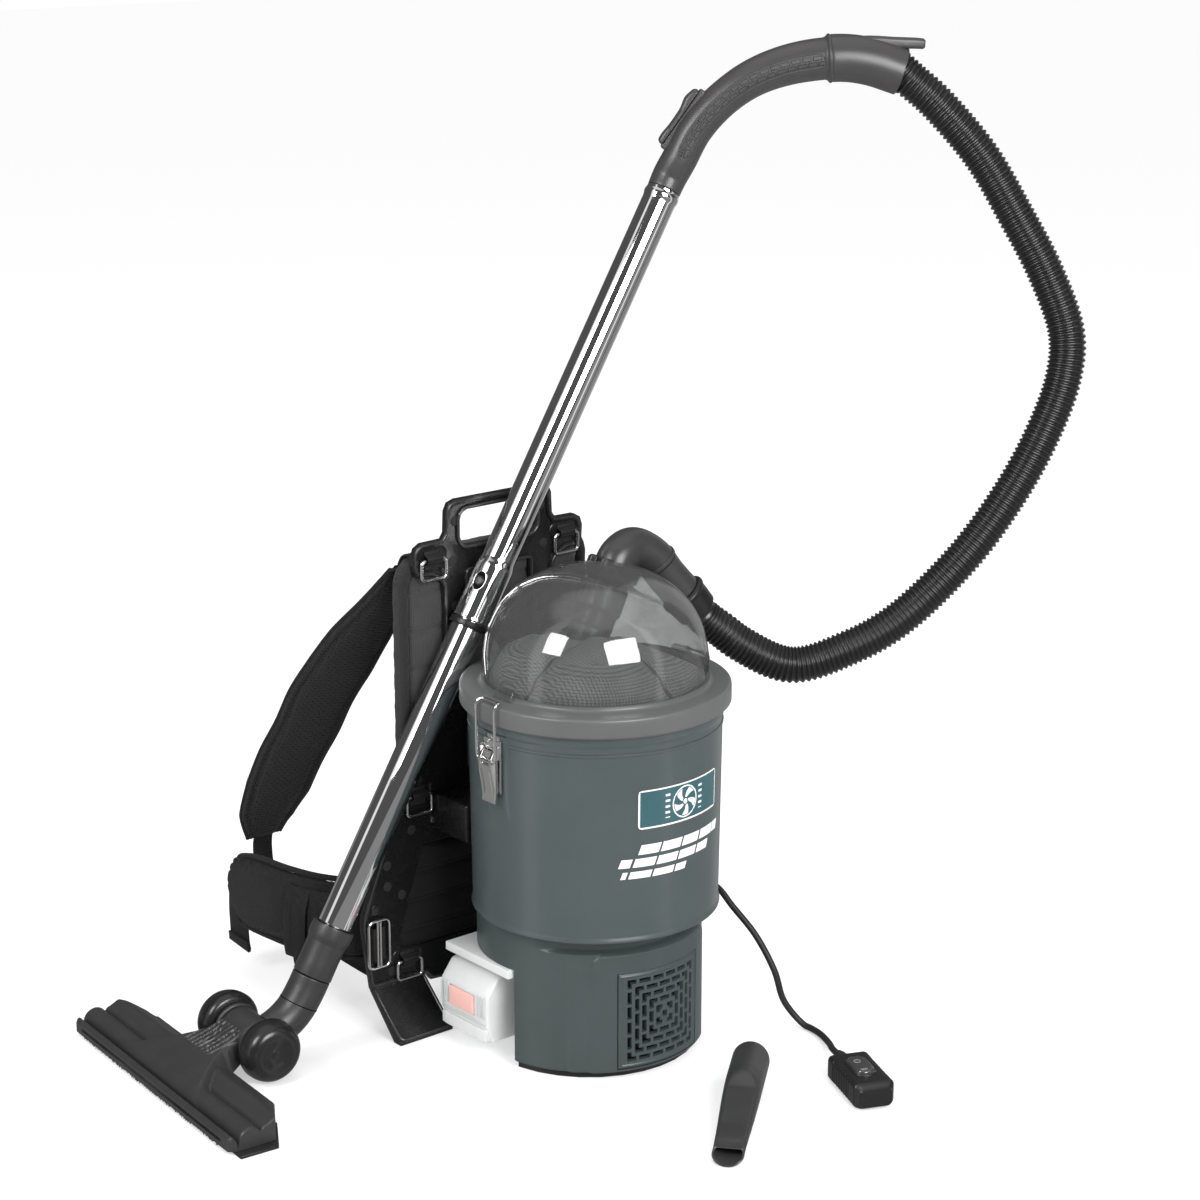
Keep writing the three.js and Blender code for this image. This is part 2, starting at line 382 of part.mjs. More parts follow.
add("wand_button", placed(lathe([[0, 12], [5.2, 12], [5.2, 20.4], [4, 21.6], [0, 21.6]], 10), frameZ(wandAt(88), buttonDir)), M.darkPlastic);

// ---------------------------------------------------------------- floor nozzle
const neckTop = wandAt(WAND_BOT - 0.5), neckEnd = wandAt(WAND_BOT - 56);
add("neck_collar", onWand(lathe([[14, WAND_BOT - 55], [20.5, WAND_BOT - 55], [20, WAND_BOT - 14], [22.5, WAND_BOT - 10], [22.5, WAND_BOT - 0.5], [14, WAND_BOT - 0.5]], 16)), M.nozzle);
const nozF = V(-NOZZLE_E.y, NOZZLE_E.x, 0); // forward, away from the canister
const nozM = new THREE.Matrix4().makeBasis(nozF, NOZZLE_E.clone().negate(), V(0, 0, 1)).setPosition(DRUM); // x forward, y along the bar, z up
const onNoz = (g) => placed(g, nozM);
const axleGeo = (r0, r1, e0, e1, seg = 16) => { const g = r0 > 0 ? ring(r0, r1, e0, e1, seg) : cyl(r1, e0, e1, seg); g.rotateX(Math.PI / 2); return tidy(g); };
{
  const tube = sweep(smooth([neckEnd, wandAt(WAND_BOT - 70), V(-270, 154, 54), V(-284, 155, 43), V(-300, 155, 36)], 7), circ(20, 14), V(0, 1, 0));
  const barrel = onNoz(axleGeo(0, 23, -21.5, 21.5, 20));
  const bores = [onNoz(axleGeo(0, 8.4, -23, -13, 12)), onNoz(axleGeo(0, 8.4, 13, 23, 12))];
  const bore = sweep([neckEnd.clone().addScaledVector(WAND_D, 4), wandAt(WAND_BOT - 70)], circ(15, 12), V(0, 1, 0));
  add("neck_elbow", cut(join(tube, barrel), ...bores, bore), M.nozzle);
}
{
  const L = NOZZLE_HALF;
  const corner = (x, y, a) => placed(box(-40, 40, -40, 40, -60, 60), new THREE.Matrix4().makeRotationZ(a).setPosition(x, y, 0));
  let bar = slab([[41, -28.8], [41, -14], [50, -7], [67, -4], [86, -9], [103, -17], [110, -24], [110, -28.8]], -L, L);
  bar = cut(bar, corner(123, L + 40, rad(45)), corner(123, -L - 40, rad(45)), corner(15.2, 163.9, rad(63.4)), corner(15.2, -163.9, rad(-63.4)));
  const arms = [1, -1].map((s) => join(slab([[-11, -6], [-11, 6], [0, 13], [26, 9], [48, -7], [48, -26], [28, -22], [0, -13]], Math.min(s * 22.5, s * 27.5), Math.max(s * 22.5, s * 27.5)), axleGeo(0, 8, s > 0 ? 14 : -24, s > 0 ? 24 : -14, 12), axleGeo(0, 5, s > 0 ? 27 : -57, s > 0 ? 57 : -27, 12)));
  let web = slab([[25, 6], [48, -7], [48, -26], [25, -16]], -23, 23);
  let body = join(bar, web, ...arms);
  body = cut(body, ...Array.from({ length: 5 }, (_, i) => box(30, 52, -20 + i * 9, -16 + i * 9, -4, 20)), axleGeo(0, 23.6, -22.1, 22.1, 20));
  add("nozzle_body", onNoz(body), M.nozzle);
  add("sole_plate", onNoz(cut(box(44, 107, -L + 6, L - 6, -32, -29.2), box(67, 81, -L + 30, L - 30, -40, -20), corner(123, L + 36, rad(45)), corner(123, -L - 36, rad(45)), corner(19.2, 161.9, rad(63.4)), corner(19.2, -161.9, rad(-63.4)))), M.darkPlastic);
  add("brush_strip", onNoz(box(110.4, 113.4, -L + 22, L - 22, -31.6, -21)), M.bristle);
  for (const [n, s] of [["front", 1], ["rear", -1]]) {
    const w = [[5.4, WHEEL_IN], [24, WHEEL_IN], [30, WHEEL_IN + 3], [WHEEL_R, WHEEL_IN + 9], [WHEEL_R, WHEEL_OUT - 10], [29, WHEEL_OUT - 4], [23, WHEEL_OUT], [14, WHEEL_OUT - 2], [5.4, WHEEL_OUT - 3]];
    const g = lathe(w, 16); g.rotateX(s > 0 ? Math.PI / 2 : -Math.PI / 2);
    add("wheel_" + n, onNoz(tidy(g.clone().scale(1, 1, 1))), M.nozzle);
  }
}

// ---------------------------------------------------------------- harness plate
const half = [[56, 553], [65, 550], [69, 542], [70, 520], [74, 514], [100, 513.5], [108, 509], [111, 500], [110, 485], [104, 478], [88, 477], [76, 470], [72, 462], [72, 404], [76, 388], [183, 130], [184, 116], [174, 47], [104, 47], [98, 38], [60, 35]];
const insetPoly = (p, d) => p.map((q, i) => {
  const a = p[(i + p.length - 1) % p.length], b = p[(i + 1) % p.length];
  const n1 = V(-(q[1] - a[1]), q[0] - a[0], 0).normalize(), n2 = V(-(b[1] - q[1]), b[0] - q[0], 0).normalize();
  const m = n1.clone().add(n2).normalize(), k = d / Math.max(0.5, m.dot(n1));
  return [q[0] - m.x * k, q[1] - m.y * k];
});
{
  const outline = both(half);
  const handleHole = rot(rrect(100, 37, 10, 2), 0, 521.5);
  const upper = [[-40, 474], [40, 474], [40, 262], [-40, 262]];
  const lower = both([[104, 192], [137, 92], [130, 80]]);
  const web = slab(outline, PLATE_Y0, PLATE_Y1, [handleHole, upper, lower]);
  const rim = slab(outline, PLATE_RIM_Y, PLATE_Y0 + 1, [insetPoly(outline, 6)]);
  const foot = (s) => {
    const poly = [[PLATE_Y0, 50], [PLATE_Y1, 50], [PLATE_Y1, 45], [118, 0], [106, 0], [106, 3], [PLATE_Y0 - 2, 47]];
    const g = new THREE.ExtrudeGeometry(new THREE.Shape(poly.map(([y, z]) => new THREE.Vector2(y, z))), { depth: 67, bevelEnabled: false });
    return placed(g, new THREE.Matrix4().makeBasis(V(0, 1, 0), V(0, 0, 1), V(1, 0, 0)).setPosition(s > 0 ? 106 : -173, 0, 0));
  };
  const fL = foot(-1), fR = foot(1);
  add("harness_plate", join(web, rim, fL, fR), M.plate);
}
add("frame_bracket", cut(box(-92, 92, 96, 155.7, 205, 246), cyl(129.6, 190, 260, SEG), box(-60, 60, 134, 150, 200, 238)), M.plate);
add("back_pad", cushion(rot(rrect(240, 302, 34, 3), 0, 349), PAD_Y0, PAD_Y1, 7), M.fabric);
add("lumbar_pad", cushion(rot(rrect(300, 128, 30, 3), 0, 129), PAD_Y0, LUMBAR_Y1, 8), M.fabric);
const strapPath = [V(-91, 190, 480), V(-97, 220, 441), V(-103, 260, 396), V(-108, 292, 355), V(-110, 327, 313), V(-112, 352, 273), V(-114, 382, 232), V(-115, 408, 190), V(-116, 432, 150), V(-116, 439, 124)];
const webPath = [V(-116, 438, 132), V(-117, 441, 110), V(-122, 425, 76), V(-132, 360, 56), V(-140, 270, 50), V(-146, 200, 50), V(-147, 168, 50)];
{
  const w = [52, 62, 70, STRAP_W, STRAP_W, STRAP_W, STRAP_W, STRAP_W, 64, 46];
  const thick = [14, 17, STRAP_T, STRAP_T, STRAP_T, STRAP_T, STRAP_T, STRAP_T, 17, 14];
  const twist = [0, 8, 18, 25, 28, 28, 28, 25, 14, 0].map(rad); // the strap turns its face outwards on its way down
  const turned = (pts, a) => pts.map(([x, y]) => [x * Math.cos(a) + y * Math.sin(a), -x * Math.sin(a) + y * Math.cos(a)]);
  const pad = sweep(strapPath, (i) => turned(rrect(thick[i], w[i], 5, 1), twist[i]), V(1, 0, 0));
  const tape = sweep(smooth(webPath, 9), rrect(2.4, 26, 0.6, 1), V(1, 0, 0));
  const g = join(pad, tape);
  add("strap_L", g, M.mesh);
  add("strap_R", mirrorX(g), M.mesh);
}
{
  const path = smooth([V(-155, 178, 116), V(-172, 190, 115), V(-188, 222, 113), V(-196, 270, 110), V(-194, 320, 105), V(-188, 365, 97), V(-182, 405, 87)], 9);
  const h = [78, 86, 88, 88, 88, 88, 88, 86, 80, 58];
  const pad = sweep(path, (i) => rrect(BELT_T, h[i], 4, 1), V(0, 0, 1));
  const tail = box(-184.5, -181.5, 366, 404, 26, 70);
  const g = join(pad, tail);
  add("belt_L", g, M.fabric);
  add("belt_R", mirrorX(g), M.fabric);
}
{
  const g = slab(rot(rrect(28, 54, 6, 2), -165.5, 97), 149.4, 153.4, [rot(rrect(18, 9, 3, 1), -165.5, 112), rot(rrect(18, 12, 3, 1), -165.5, 91)]);
  add("triglide_L", g, M.steel);
  add("triglide_R", mirrorX(g), M.steel);
}
for (const [n, x, z] of [["top", -87, 495], ["mid", -110.5, 247], ["low", -127, 69.5]]) {
  const p = rrect(31, 20, 4, 1).map(([a, b]) => V(x + a, 151.4, z - 10 + b));
  const g = loopSweep(p, circ(LOOP_WIRE, 6));
  add("loop_" + n + "_L", g, M.steel);
  add("loop_" + n + "_R", mirrorX(g), M.steel);
}

// ---------------------------------------------------------------- lead, switch, crevice tool
const cablePts = [V(102, 47.5, 131), V(113, 51.5, 132), V(128, 44, 140), V(139, 5, 142), V(139.5, -34, 138), V(141.2, -53.2, 124), V(150.4, -80.6, 96.5), V(156, -104.6, 62), V(163, -112, 29), V(176, -129, 4.2), V(175, -150, 3.8), V(162, -180, 6), V(146, -202, 11), V(138.2, -217.5, 13)];
add("power_cable", sweep(smooth(cablePts, 26), circ(CABLE_R, 6)), M.rubber);
{
  const m = new THREE.Matrix4().makeBasis(V(0.396, 0.918, 0).normalize(), V(-0.918, 0.396, 0).normalize(), V(0, 0, 1)).setPosition(97, -313, 0);
  let h = slab([[0, 3], [3, 0], [82, 0], [85, 4], [85, 20], [80, 26], [4, 26], [0, 22]], -21.5, 21.5);
  h = join(h, placed(lathe([[0, 0], [8, 0], [6, 18], [0, 18]], 10), frameZ(V(84, 0, 13), V(1, 0, 0))));
  h = cut(h, box(24, 62, -12, 12, 20.5, 30));
  add("switch_housing", placed(h, m), M.darkPlastic);
  add("switch_rocker", placed(slab([[26, 23.4], [43, 21.4], [60, 23.4], [60, 28], [43, 26.4], [26, 28]], -10.5, 10.5), m), M.darkPlastic);
}
{
  // round spigot at one end, flat slanted mouth at the other
  const a = V(52, -181, 21), b = V(-99, -309, 8.4), d = b.clone().sub(a).normalize(), L = a.distanceTo(b);
  const st = [[0, 20, 20, 20.5], [0.28, 20, 20, 20.3], [0.45, 20.5, 17, 17.4], [0.7, 21.5, 11, 11.4], [1, 22, 7.4, 7.8]];
  const path = st.map(([t, , , z]) => V(a.x + (b.x - a.x) * t, a.y + (b.y - a.y) * t, z));
  const outer = sweep(path, (i) => circ(st[i][1], 14, st[i][2]), V(0, 0, 1), (i) => circ(st[i][1] - 2, 14, st[i][2] - 2));
  const blade = new THREE.Matrix4().makeBasis(d.clone().setZ(0).normalize(), V(-d.y, d.x, 0).normalize(), V(0, 0, 1)).setPosition(path[4]);
  add("crevice_tool", cut(outer, placed(slab([[-34, 20], [12, 20], [12, 1]], -40, 40), blade)), M.nozzle);
}

export default group;
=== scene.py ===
import json
import math

import bmesh
import bpy
import numpy as np
from mathutils import Matrix, Vector


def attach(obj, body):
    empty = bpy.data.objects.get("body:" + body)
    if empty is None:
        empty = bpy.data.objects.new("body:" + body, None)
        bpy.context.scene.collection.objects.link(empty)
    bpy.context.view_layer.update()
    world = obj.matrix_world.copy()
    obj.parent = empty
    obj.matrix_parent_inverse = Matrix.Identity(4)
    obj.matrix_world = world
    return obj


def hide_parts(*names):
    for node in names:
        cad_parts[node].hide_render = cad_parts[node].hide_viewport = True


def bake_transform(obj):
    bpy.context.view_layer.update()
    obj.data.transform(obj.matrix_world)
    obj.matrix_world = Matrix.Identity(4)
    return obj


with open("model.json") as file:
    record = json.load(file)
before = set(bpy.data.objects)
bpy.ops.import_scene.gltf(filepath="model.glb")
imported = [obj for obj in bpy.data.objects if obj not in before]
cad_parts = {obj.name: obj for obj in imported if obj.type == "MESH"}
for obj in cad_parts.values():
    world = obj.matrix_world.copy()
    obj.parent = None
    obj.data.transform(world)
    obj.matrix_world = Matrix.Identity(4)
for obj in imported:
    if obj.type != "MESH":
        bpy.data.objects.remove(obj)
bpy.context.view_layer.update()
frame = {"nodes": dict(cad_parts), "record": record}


RNG = np.random.default_rng(7)
PI = math.pi


def V(*a):
    return np.array(a, float)


def unit(v):
    return v / np.linalg.norm(v)


# ------------------------------------------------------------------ materials
def new_mat(name):
    m = bpy.data.materials.new(name)
    m.use_nodes = True
    nt = m.node_tree
    nt.nodes.clear()
    out = nt.nodes.new("ShaderNodeOutputMaterial")
    return m, nt, out


def N(nt, kind, **k):
    n = nt.nodes.new(kind)
    for a, b in k.items():
        setattr(n, a, b)
    return n


def L(nt, a, b):
    nt.links.new(a, b)


def mathn(nt, op, a, b=None, c=None, clamp=False):
    n = nt.nodes.new("ShaderNodeMath")
    n.operation = op
    n.use_clamp = clamp
    for i, x in enumerate((a, b, c)):
        if x is None:
            continue
        if isinstance(x, (int, float)):
            n.inputs[i].default_value = x
        else:
            nt.links.new(x, n.inputs[i])
    return n.outputs[0]


def coords(nt):
    return nt.nodes.new("ShaderNodeTexCoord").outputs["Object"]


def noise(nt, co, scale, detail=3.0, rough=0.55):
    n = nt.nodes.new("ShaderNodeTexNoise")
    n.inputs["Scale"].default_value = scale
    n.inputs["Detail"].default_value = detail
    n.inputs["Roughness"].default_value = rough
    L(nt, co, n.inputs["Vector"])
    return n.outputs["Fac"]


def tint(nt, fac, c0, c1, p0=0.35, p1=0.65):
    r = nt.nodes.new("ShaderNodeValToRGB")
    e = r.color_ramp.elements
    e[0].position, e[1].position = p0, p1
    e[0].color, e[1].color = (*c0, 1), (*c1, 1)
    L(nt, fac, r.inputs[0])
    return r.outputs[0]


def ranged(nt, fac, lo, hi):
    r = nt.nodes.new("ShaderNodeMapRange")
    r.inputs["From Min"].default_value, r.inputs["From Max"].default_value = 0.3, 0.7
    r.inputs["To Min"].default_value, r.inputs["To Max"].default_value = lo, hi
    L(nt, fac, r.inputs["Value"])
    return r.outputs[0]


def bump(nt, height, strength, dist, normal=None):
    b = nt.nodes.new("ShaderNodeBump")
    b.inputs["Strength"].default_value = strength
    b.inputs["Distance"].default_value = dist
    L(nt, height, b.inputs["Height"])
    if normal is not None:
        L(nt, normal, b.inputs["Normal"])
    return b.outputs[0]


def principled(nt, out, **k):
    p = nt.nodes.new("ShaderNodeBsdfPrincipled")
    for a, b in k.items():
        if hasattr(b, "is_linked") or hasattr(b, "links"):
            L(nt, b, p.inputs[a])
        else:
            p.inputs[a].default_value = b
    L(nt, p.outputs[0], out.inputs[0])
    return p


def shade(c, f):
    return tuple(min(1.0, x * f) for x in c)


def plastic(name, color, rough=0.4, grain=0.25, grain_scale=1400, spec=0.5, coat=0.0, var=0.10, spread=0.015):
    """Moulded plastic: slight colour and gloss drift, and a fine spark-eroded grain."""
    m, nt, out = new_mat(name)
    co = coords(nt)
    big = noise(nt, co, 9, 2)
    mid = noise(nt, co, 60, 4)
    mixed = mathn(nt, "ADD", mathn(nt, "MULTIPLY", big, 0.6), mathn(nt, "MULTIPLY", mid, 0.4))
    col = tint(nt, mixed, shade(color, 1 - var), shade(color, 1 + var))
    r = ranged(nt, mid, max(0.02, rough - spread), rough + spread)
    fine = noise(nt, co, grain_scale, 2)
    nrm = bump(nt, fine, grain, 0.0002)
    nrm = bump(nt, noise(nt, co, 25, 1), 0.05, 0.002, nrm)
    principled(nt, out, **{"Base Color": col, "Roughness": r, "Normal": nrm, "Specular IOR Level": spec,
                           "Coat Weight": coat, "Coat Roughness": 0.12})
    return m


def metal(name, color, rough=0.06, wear=0.04, brushed=0.0):
    m, nt, out = new_mat(name)
    co = coords(nt)
    smear = noise(nt, co, 30, 5)
    r = ranged(nt, smear, rough, rough + wear)
    col = tint(nt, noise(nt, co, 12, 2), shade(color, 0.94), color)
    h = noise(nt, co, 700, 2)
    nrm = bump(nt, h, 0.02 + brushed, 0.0002)
    principled(nt, out, **{"Base Color": col, "Metallic": 1.0, "Roughness": r, "Normal": nrm})
    return m


def axis_wave(nt, sock, freq, phase=0.0):
    """0..1 sine of a coordinate given in metres."""
    s = mathn(nt, "SINE", mathn(nt, "ADD", mathn(nt, "MULTIPLY", sock, freq * 2 * PI), phase))
    return mathn(nt, "MULTIPLY_ADD", s, 0.5, 0.5)


def weave(nt, pitch_mm, co=None, u="X", v="Z"):
    """Plain-weave height from two threads that pass over and under in turn."""
    co = co or coords(nt)
    sep = nt.nodes.new("ShaderNodeSeparateXYZ")
    L(nt, co, sep.inputs[0])
    f = 1000.0 / pitch_mm / 2
    a = mathn(nt, "SINE", mathn(nt, "MULTIPLY", sep.outputs[u], f * 2 * PI))
    b = mathn(nt, "SINE", mathn(nt, "MULTIPLY", sep.outputs[v], f * 2 * PI))
    check = mathn(nt, "MULTIPLY", a, b)
    a2 = mathn(nt, "ABSOLUTE", a)
    b2 = mathn(nt, "ABSOLUTE", b)
    over = mathn(nt, "GREATER_THAN", check, 0.0)
    n = nt.nodes.new("ShaderNodeMix")
    n.data_type = "FLOAT"
    L(nt, over, n.inputs[0]); L(nt, a2, n.inputs[2]); L(nt, b2, n.inputs[3])
    return n.outputs[0]


def fabric(name, color, pitch=1.3, u="X", v="Z", sheen=0.35, contrast=0.55, rough=0.9, bump_mm=0.35, second=None):
    m, nt, out = new_mat(name)
    co = coords(nt)
    h = weave(nt, pitch, co, u, v)
    fuzz = noise(nt, co, 900, 3)
    blot = noise(nt, co, 22, 3)
    # colour follows the weave height: painted shade on the low threads and painted light on the high ones
    dark = shade(color, 1 - contrast)
    lit = shade(color, 1 + contrast * 0.5) if second is None else second
    f = mathn(nt, "ADD", mathn(nt, "MULTIPLY", h, 0.75), mathn(nt, "MULTIPLY", fuzz, 0.35))
    col = tint(nt, f, dark, lit, 0.15, 0.95)
    mix = nt.nodes.new("ShaderNodeMix"); mix.data_type = "RGBA"; mix.blend_type = "MULTIPLY"
    mix.inputs[0].default_value = 1.0
    L(nt, col, mix.inputs[6]); L(nt, tint(nt, blot, (0.80, 0.80, 0.80), (1, 1, 1)), mix.inputs[7])
    nrm = bump(nt, mathn(nt, "ADD", h, mathn(nt, "MULTIPLY", fuzz, 0.3)), 0.9, bump_mm / 1000)
    principled(nt, out, **{"Base Color": mix.outputs[2], "Roughness": rough, "Normal": nrm, "Sheen Weight": sheen,
                           "Sheen Roughness": 0.5, "Specular IOR Level": 0.25})
    return m


def mesh_fabric(name, color, pitch=3.4, depth=0.8):
    """Open spacer mesh: rows of oval holes."""
    m, nt, out = new_mat(name)
    co = coords(nt)
    vor = nt.nodes.new("ShaderNodeTexVoronoi")
    vor.feature = "F1"
    vor.inputs["Scale"].default_value = 1000 / pitch
    vor.inputs["Randomness"].default_value = 0.12
    L(nt, co, vor.inputs["Vector"])
    d = vor.outputs["Distance"]
    hole = mathn(nt, "SMOOTH_MIN", mathn(nt, "MULTIPLY", d, 2.2), 1.0, 0.2)
    fuzz = noise(nt, co, 1200, 2)
    # the holes are painted darker: painted shade seen through the mesh
    col = tint(nt, mathn(nt, "ADD", hole, mathn(nt, "MULTIPLY", fuzz, 0.2)), shade(color, 0.15), shade(color, 1.5), 0.35, 1.05)
    nrm = bump(nt, hole, 1.0, depth / 1000)
    principled(nt, out, **{"Base Color": col, "Roughness": 0.85, "Normal": nrm, "Sheen Weight": 0.04, "Specular IOR Level": 0.2})
    return m


def webbing_mat(name, color, u="X", v="Z", pitch=1.6):
    m, nt, out = new_mat(name)
    co = coords(nt)
    sep = nt.nodes.new("ShaderNodeSeparateXYZ"); L(nt, co, sep.inputs[0])
    ribs = axis_wave(nt, sep.outputs[v], 1000 / pitch)
    cross = axis_wave(nt, sep.outputs[u], 1000 / (pitch * 1.6))
    h = mathn(nt, "ADD", mathn(nt, "MULTIPLY", ribs, 0.8), mathn(nt, "MULTIPLY", cross, 0.25))
    # colour follows rib height: painted shade in the valleys and painted light on the ribs
    col = tint(nt, h, shade(color, 0.5), shade(color, 1.6), 0.1, 1.0)
    principled(nt, out, **{"Base Color": col, "Roughness": 0.72, "Normal": bump(nt, h, 0.8, 0.0004), "Sheen Weight": 0.03,
                           "Specular IOR Level": 0.3})
    return m


def clear_plastic(name, tintc=(0.74, 0.745, 0.745), gloss=1.0, rough=0.015):
    """Thin smoked clear plastic: tinted see-through plus a sharp Fresnel reflection."""
    m, nt, out = new_mat(name)
    tr = nt.nodes.new("ShaderNodeBsdfTransparent")
    gl = nt.nodes.new("ShaderNodeBsdfGlossy")
    gl.inputs["Roughness"].default_value = rough
    gl.inputs["Color"].default_value = (1, 1, 1, 1)
    fr = nt.nodes.new("ShaderNodeLayerWeight")
    fr.inputs["Blend"].default_value = 0.5
    co = coords(nt)
    wob = bump(nt, noise(nt, co, 14, 1), 0.10, 0.004)
    L(nt, wob, gl.inputs["Normal"]); L(nt, wob, fr.inputs["Normal"])
    lw = nt.nodes.new("ShaderNodeLayerWeight"); lw.inputs["Blend"].default_value = 0.35
    edge = tint(nt, lw.outputs["Facing"], tintc, shade(tintc, 0.70), 0.50, 1.0)
    scuff = tint(nt, noise(nt, co, 40, 4), (0.93, 0.93, 0.93), (1, 1, 1))
    mul = nt.nodes.new("ShaderNodeMix"); mul.data_type = "RGBA"; mul.blend_type = "MULTIPLY"; mul.inputs[0].default_value = 1
    L(nt, edge, mul.inputs[6]); L(nt, scuff, mul.inputs[7])
    L(nt, mul.outputs[2], tr.inputs["Color"])
    mx = nt.nodes.new("ShaderNodeMixShader")
    sch = mathn(nt, "MULTIPLY_ADD", mathn(nt, "POWER", fr.outputs["Facing"], 4.5), 0.72, 0.055)
    L(nt, mathn(nt, "MULTIPLY", sch, gloss, clamp=True), mx.inputs[0])
    hz = nt.nodes.new("ShaderNodeBsdfDiffuse"); hz.inputs["Color"].default_value = (0.42, 0.42, 0.42, 1)
    hm = nt.nodes.new("ShaderNodeMixShader"); hm.inputs[0].default_value = 0.07
    L(nt, tr.outputs[0], hm.inputs[1]); L(nt, hz.outputs[0], hm.inputs[2])
    L(nt, hm.outputs[0], mx.inputs[1]); L(nt, gl.outputs[0], mx.inputs[2])
    L(nt, mx.outputs[0], out.inputs[0])
    return m


M = {}
M["shell"] = plastic("shell_gloss", (0.056, 0.072, 0.072), 0.30, 0.10, 900, 0.5, 0.15, 0.05)
M["base"] = plastic("base_satin", (0.050, 0.064, 0.064), 0.38, 0.22, 1100, 0.45, 0.0, 0.06)
# near-black: painted shade on slot bottoms, grooves, the button's lock slot and the pin wells; also the real dark seam
# lines
M["void"] = plastic("void_dark", (0.004, 0.004, 0.004), 0.9, 0.1, 900, 0.1)
M["clear"] = clear_plastic("lid_clear")
M["rim"] = plastic("rim_grey", (0.095, 0.097, 0.097), 0.36, 0.12, 1200, 0.5, 0.0, 0.05)
M["inner_ring"] = plastic("inner_ring_grey", (0.17, 0.172, 0.172), 0.45, 0.12, 1200)
M["dark"] = plastic("dark_moulded", (0.011, 0.011, 0.011), 0.36, 0.35, 1200)
M["plate"] = plastic("plate_black", (0.0085, 0.0085, 0.0088), 0.27, 0.22, 1300, 0.5, 0.0, 0.12)
# three times lighter than plate_black: painted highlight along the plate's raised rims
M["plate_rim_painted_highlight"] = plastic("plate_rim_painted_highlight", (0.026, 0.026, 0.026), 0.22, 0.15, 1300, 0.6, 0.2, 0.1)
M["mark"] = plastic("plate_mark", (0.014, 0.014, 0.014), 0.6, 1.0, 900, 0.4)
M["grip"] = plastic("grip_satin", (0.044, 0.042, 0.043), 0.34, 0.35, 1500, 0.5, 0.0, 0.06)
M["gripdark"] = plastic("grip_inset", (0.030, 0.030, 0.030), 0.5, 0.4, 1300)
M["elbow"] = plastic("elbow_satin", (0.038, 0.038, 0.038), 0.32, 0.25, 1500)
M["nozzle"] = plastic("nozzle_grain", (0.030, 0.030, 0.030), 0.38, 0.55, 1100, 0.5)
M["wheel"] = plastic("wheel_smooth", (0.014, 0.014, 0.014), 0.25, 0.10, 1200, 0.5)
M["hose"] = plastic("hose_gloss", (0.010, 0.010, 0.010), 0.30, 0.05, 900, 0.65, 0.25)
M["chrome"] = metal("chrome_tube", (0.80, 0.80, 0.81), 0.03, 0.02)
M["steel"] = metal("bright_steel", (0.78, 0.78, 0.77), 0.14, 0.10, 0.08)
M["wire"] = metal("bright_wire", (0.82, 0.82, 0.81), 0.12, 0.08, 0.04)
M["motor"] = metal("motor_cast", (0.55, 0.55, 0.56), 0.35, 0.15, 0.3)
M["pale"] = plastic("pale_grey", (0.64, 0.65, 0.65), 0.36, 0.15, 1300, 0.45, 0.0, 0.04)
M["pale_dark"] = plastic("pale_grey_shade", (0.52, 0.53, 0.53), 0.42, 0.15, 1300, 0.45, 0.0, 0.04)
M["pale_red"] = plastic("pale_red", (0.80, 0.47, 0.42), 0.38, 0.15, 1300, 0.45, 0.0, 0.04)
M["badge"] = plastic("badge_plate", (0.030, 0.095, 0.110), 0.30, 0.05, 900, 0.5, 0.3)
M["white"] = plastic("badge_white", (0.78, 0.78, 0.78), 0.35, 0.05, 900, 0.4, 0.0, 0.03)
M["rubber"] = plastic("rubber_lead", (0.016, 0.016, 0.016), 0.52, 0.45, 1500, 0.35)
M["glyph"] = plastic("glyph_grey", (0.55, 0.55, 0.55), 0.4, 0.1, 900)
M["boot"] = clear_plastic("switch_boot", (0.62, 0.62, 0.62), 1.3, 0.08)
M["bristle"] = plastic("bristle_black", (0.02, 0.02, 0.02), 0.7, 1.0, 500, 0.2)
M["foam"] = plastic("foam_black", (0.03, 0.03, 0.03), 0.95, 1.0, 400, 0.1)
M["pad"] = fabric("pad_woven", (0.055, 0.055, 0.055), 1.7, "X", "Z", 0.12, 0.75)
M["pad_dark"] = fabric("pad_woven_dark", (0.009, 0.009, 0.009), 1.5, "X", "Z", 0.04, 0.6)
M["belt"] = fabric("belt_woven", (0.009, 0.009, 0.009), 1.5, "Y", "Z", 0.05, 0.8)
M["binding"] = fabric("binding_tape", (0.020, 0.020, 0.020), 1.3, "X", "Z", 0.10, 0.7)
M["piping"] = fabric("piping_tape", (0.008, 0.008, 0.008), 1.0, "Y", "Z", 0.05, 0.7)
M["mesh"] = mesh_fabric("spacer_mesh", (0.0115, 0.0115, 0.0115), 3.6, 1.1)
M["mesh_pad"] = mesh_fabric("spacer_mesh_pad", (0.011, 0.011, 0.011), 4.2, 1.0)
M["filter"] = fabric("filter_cloth", (0.27, 0.27, 0.27), 2.9, "X", "Z", 0.0, 0.85, 0.8, 0.5)
M["filter_top"] = fabric("filter_cloth_top", (0.27, 0.27, 0.27), 2.9, "X", "Y", 0.0, 0.85, 0.8, 0.5)
M["seam"] = fabric("seam_tape", (0.05, 0.05, 0.05), 1.0, "X", "Y", 0.1, 0.5)
M["thread"] = plastic("thread", (0.035, 0.035, 0.035), 0.7, 0.6, 2500, 0.2)
M["web"] = webbing_mat("webbing", (0.008, 0.008, 0.008), "X", "Z", 2.0)
M["web_y"] = webbing_mat("webbing_y", (0.008, 0.008, 0.008), "Z", "Y", 2.0)


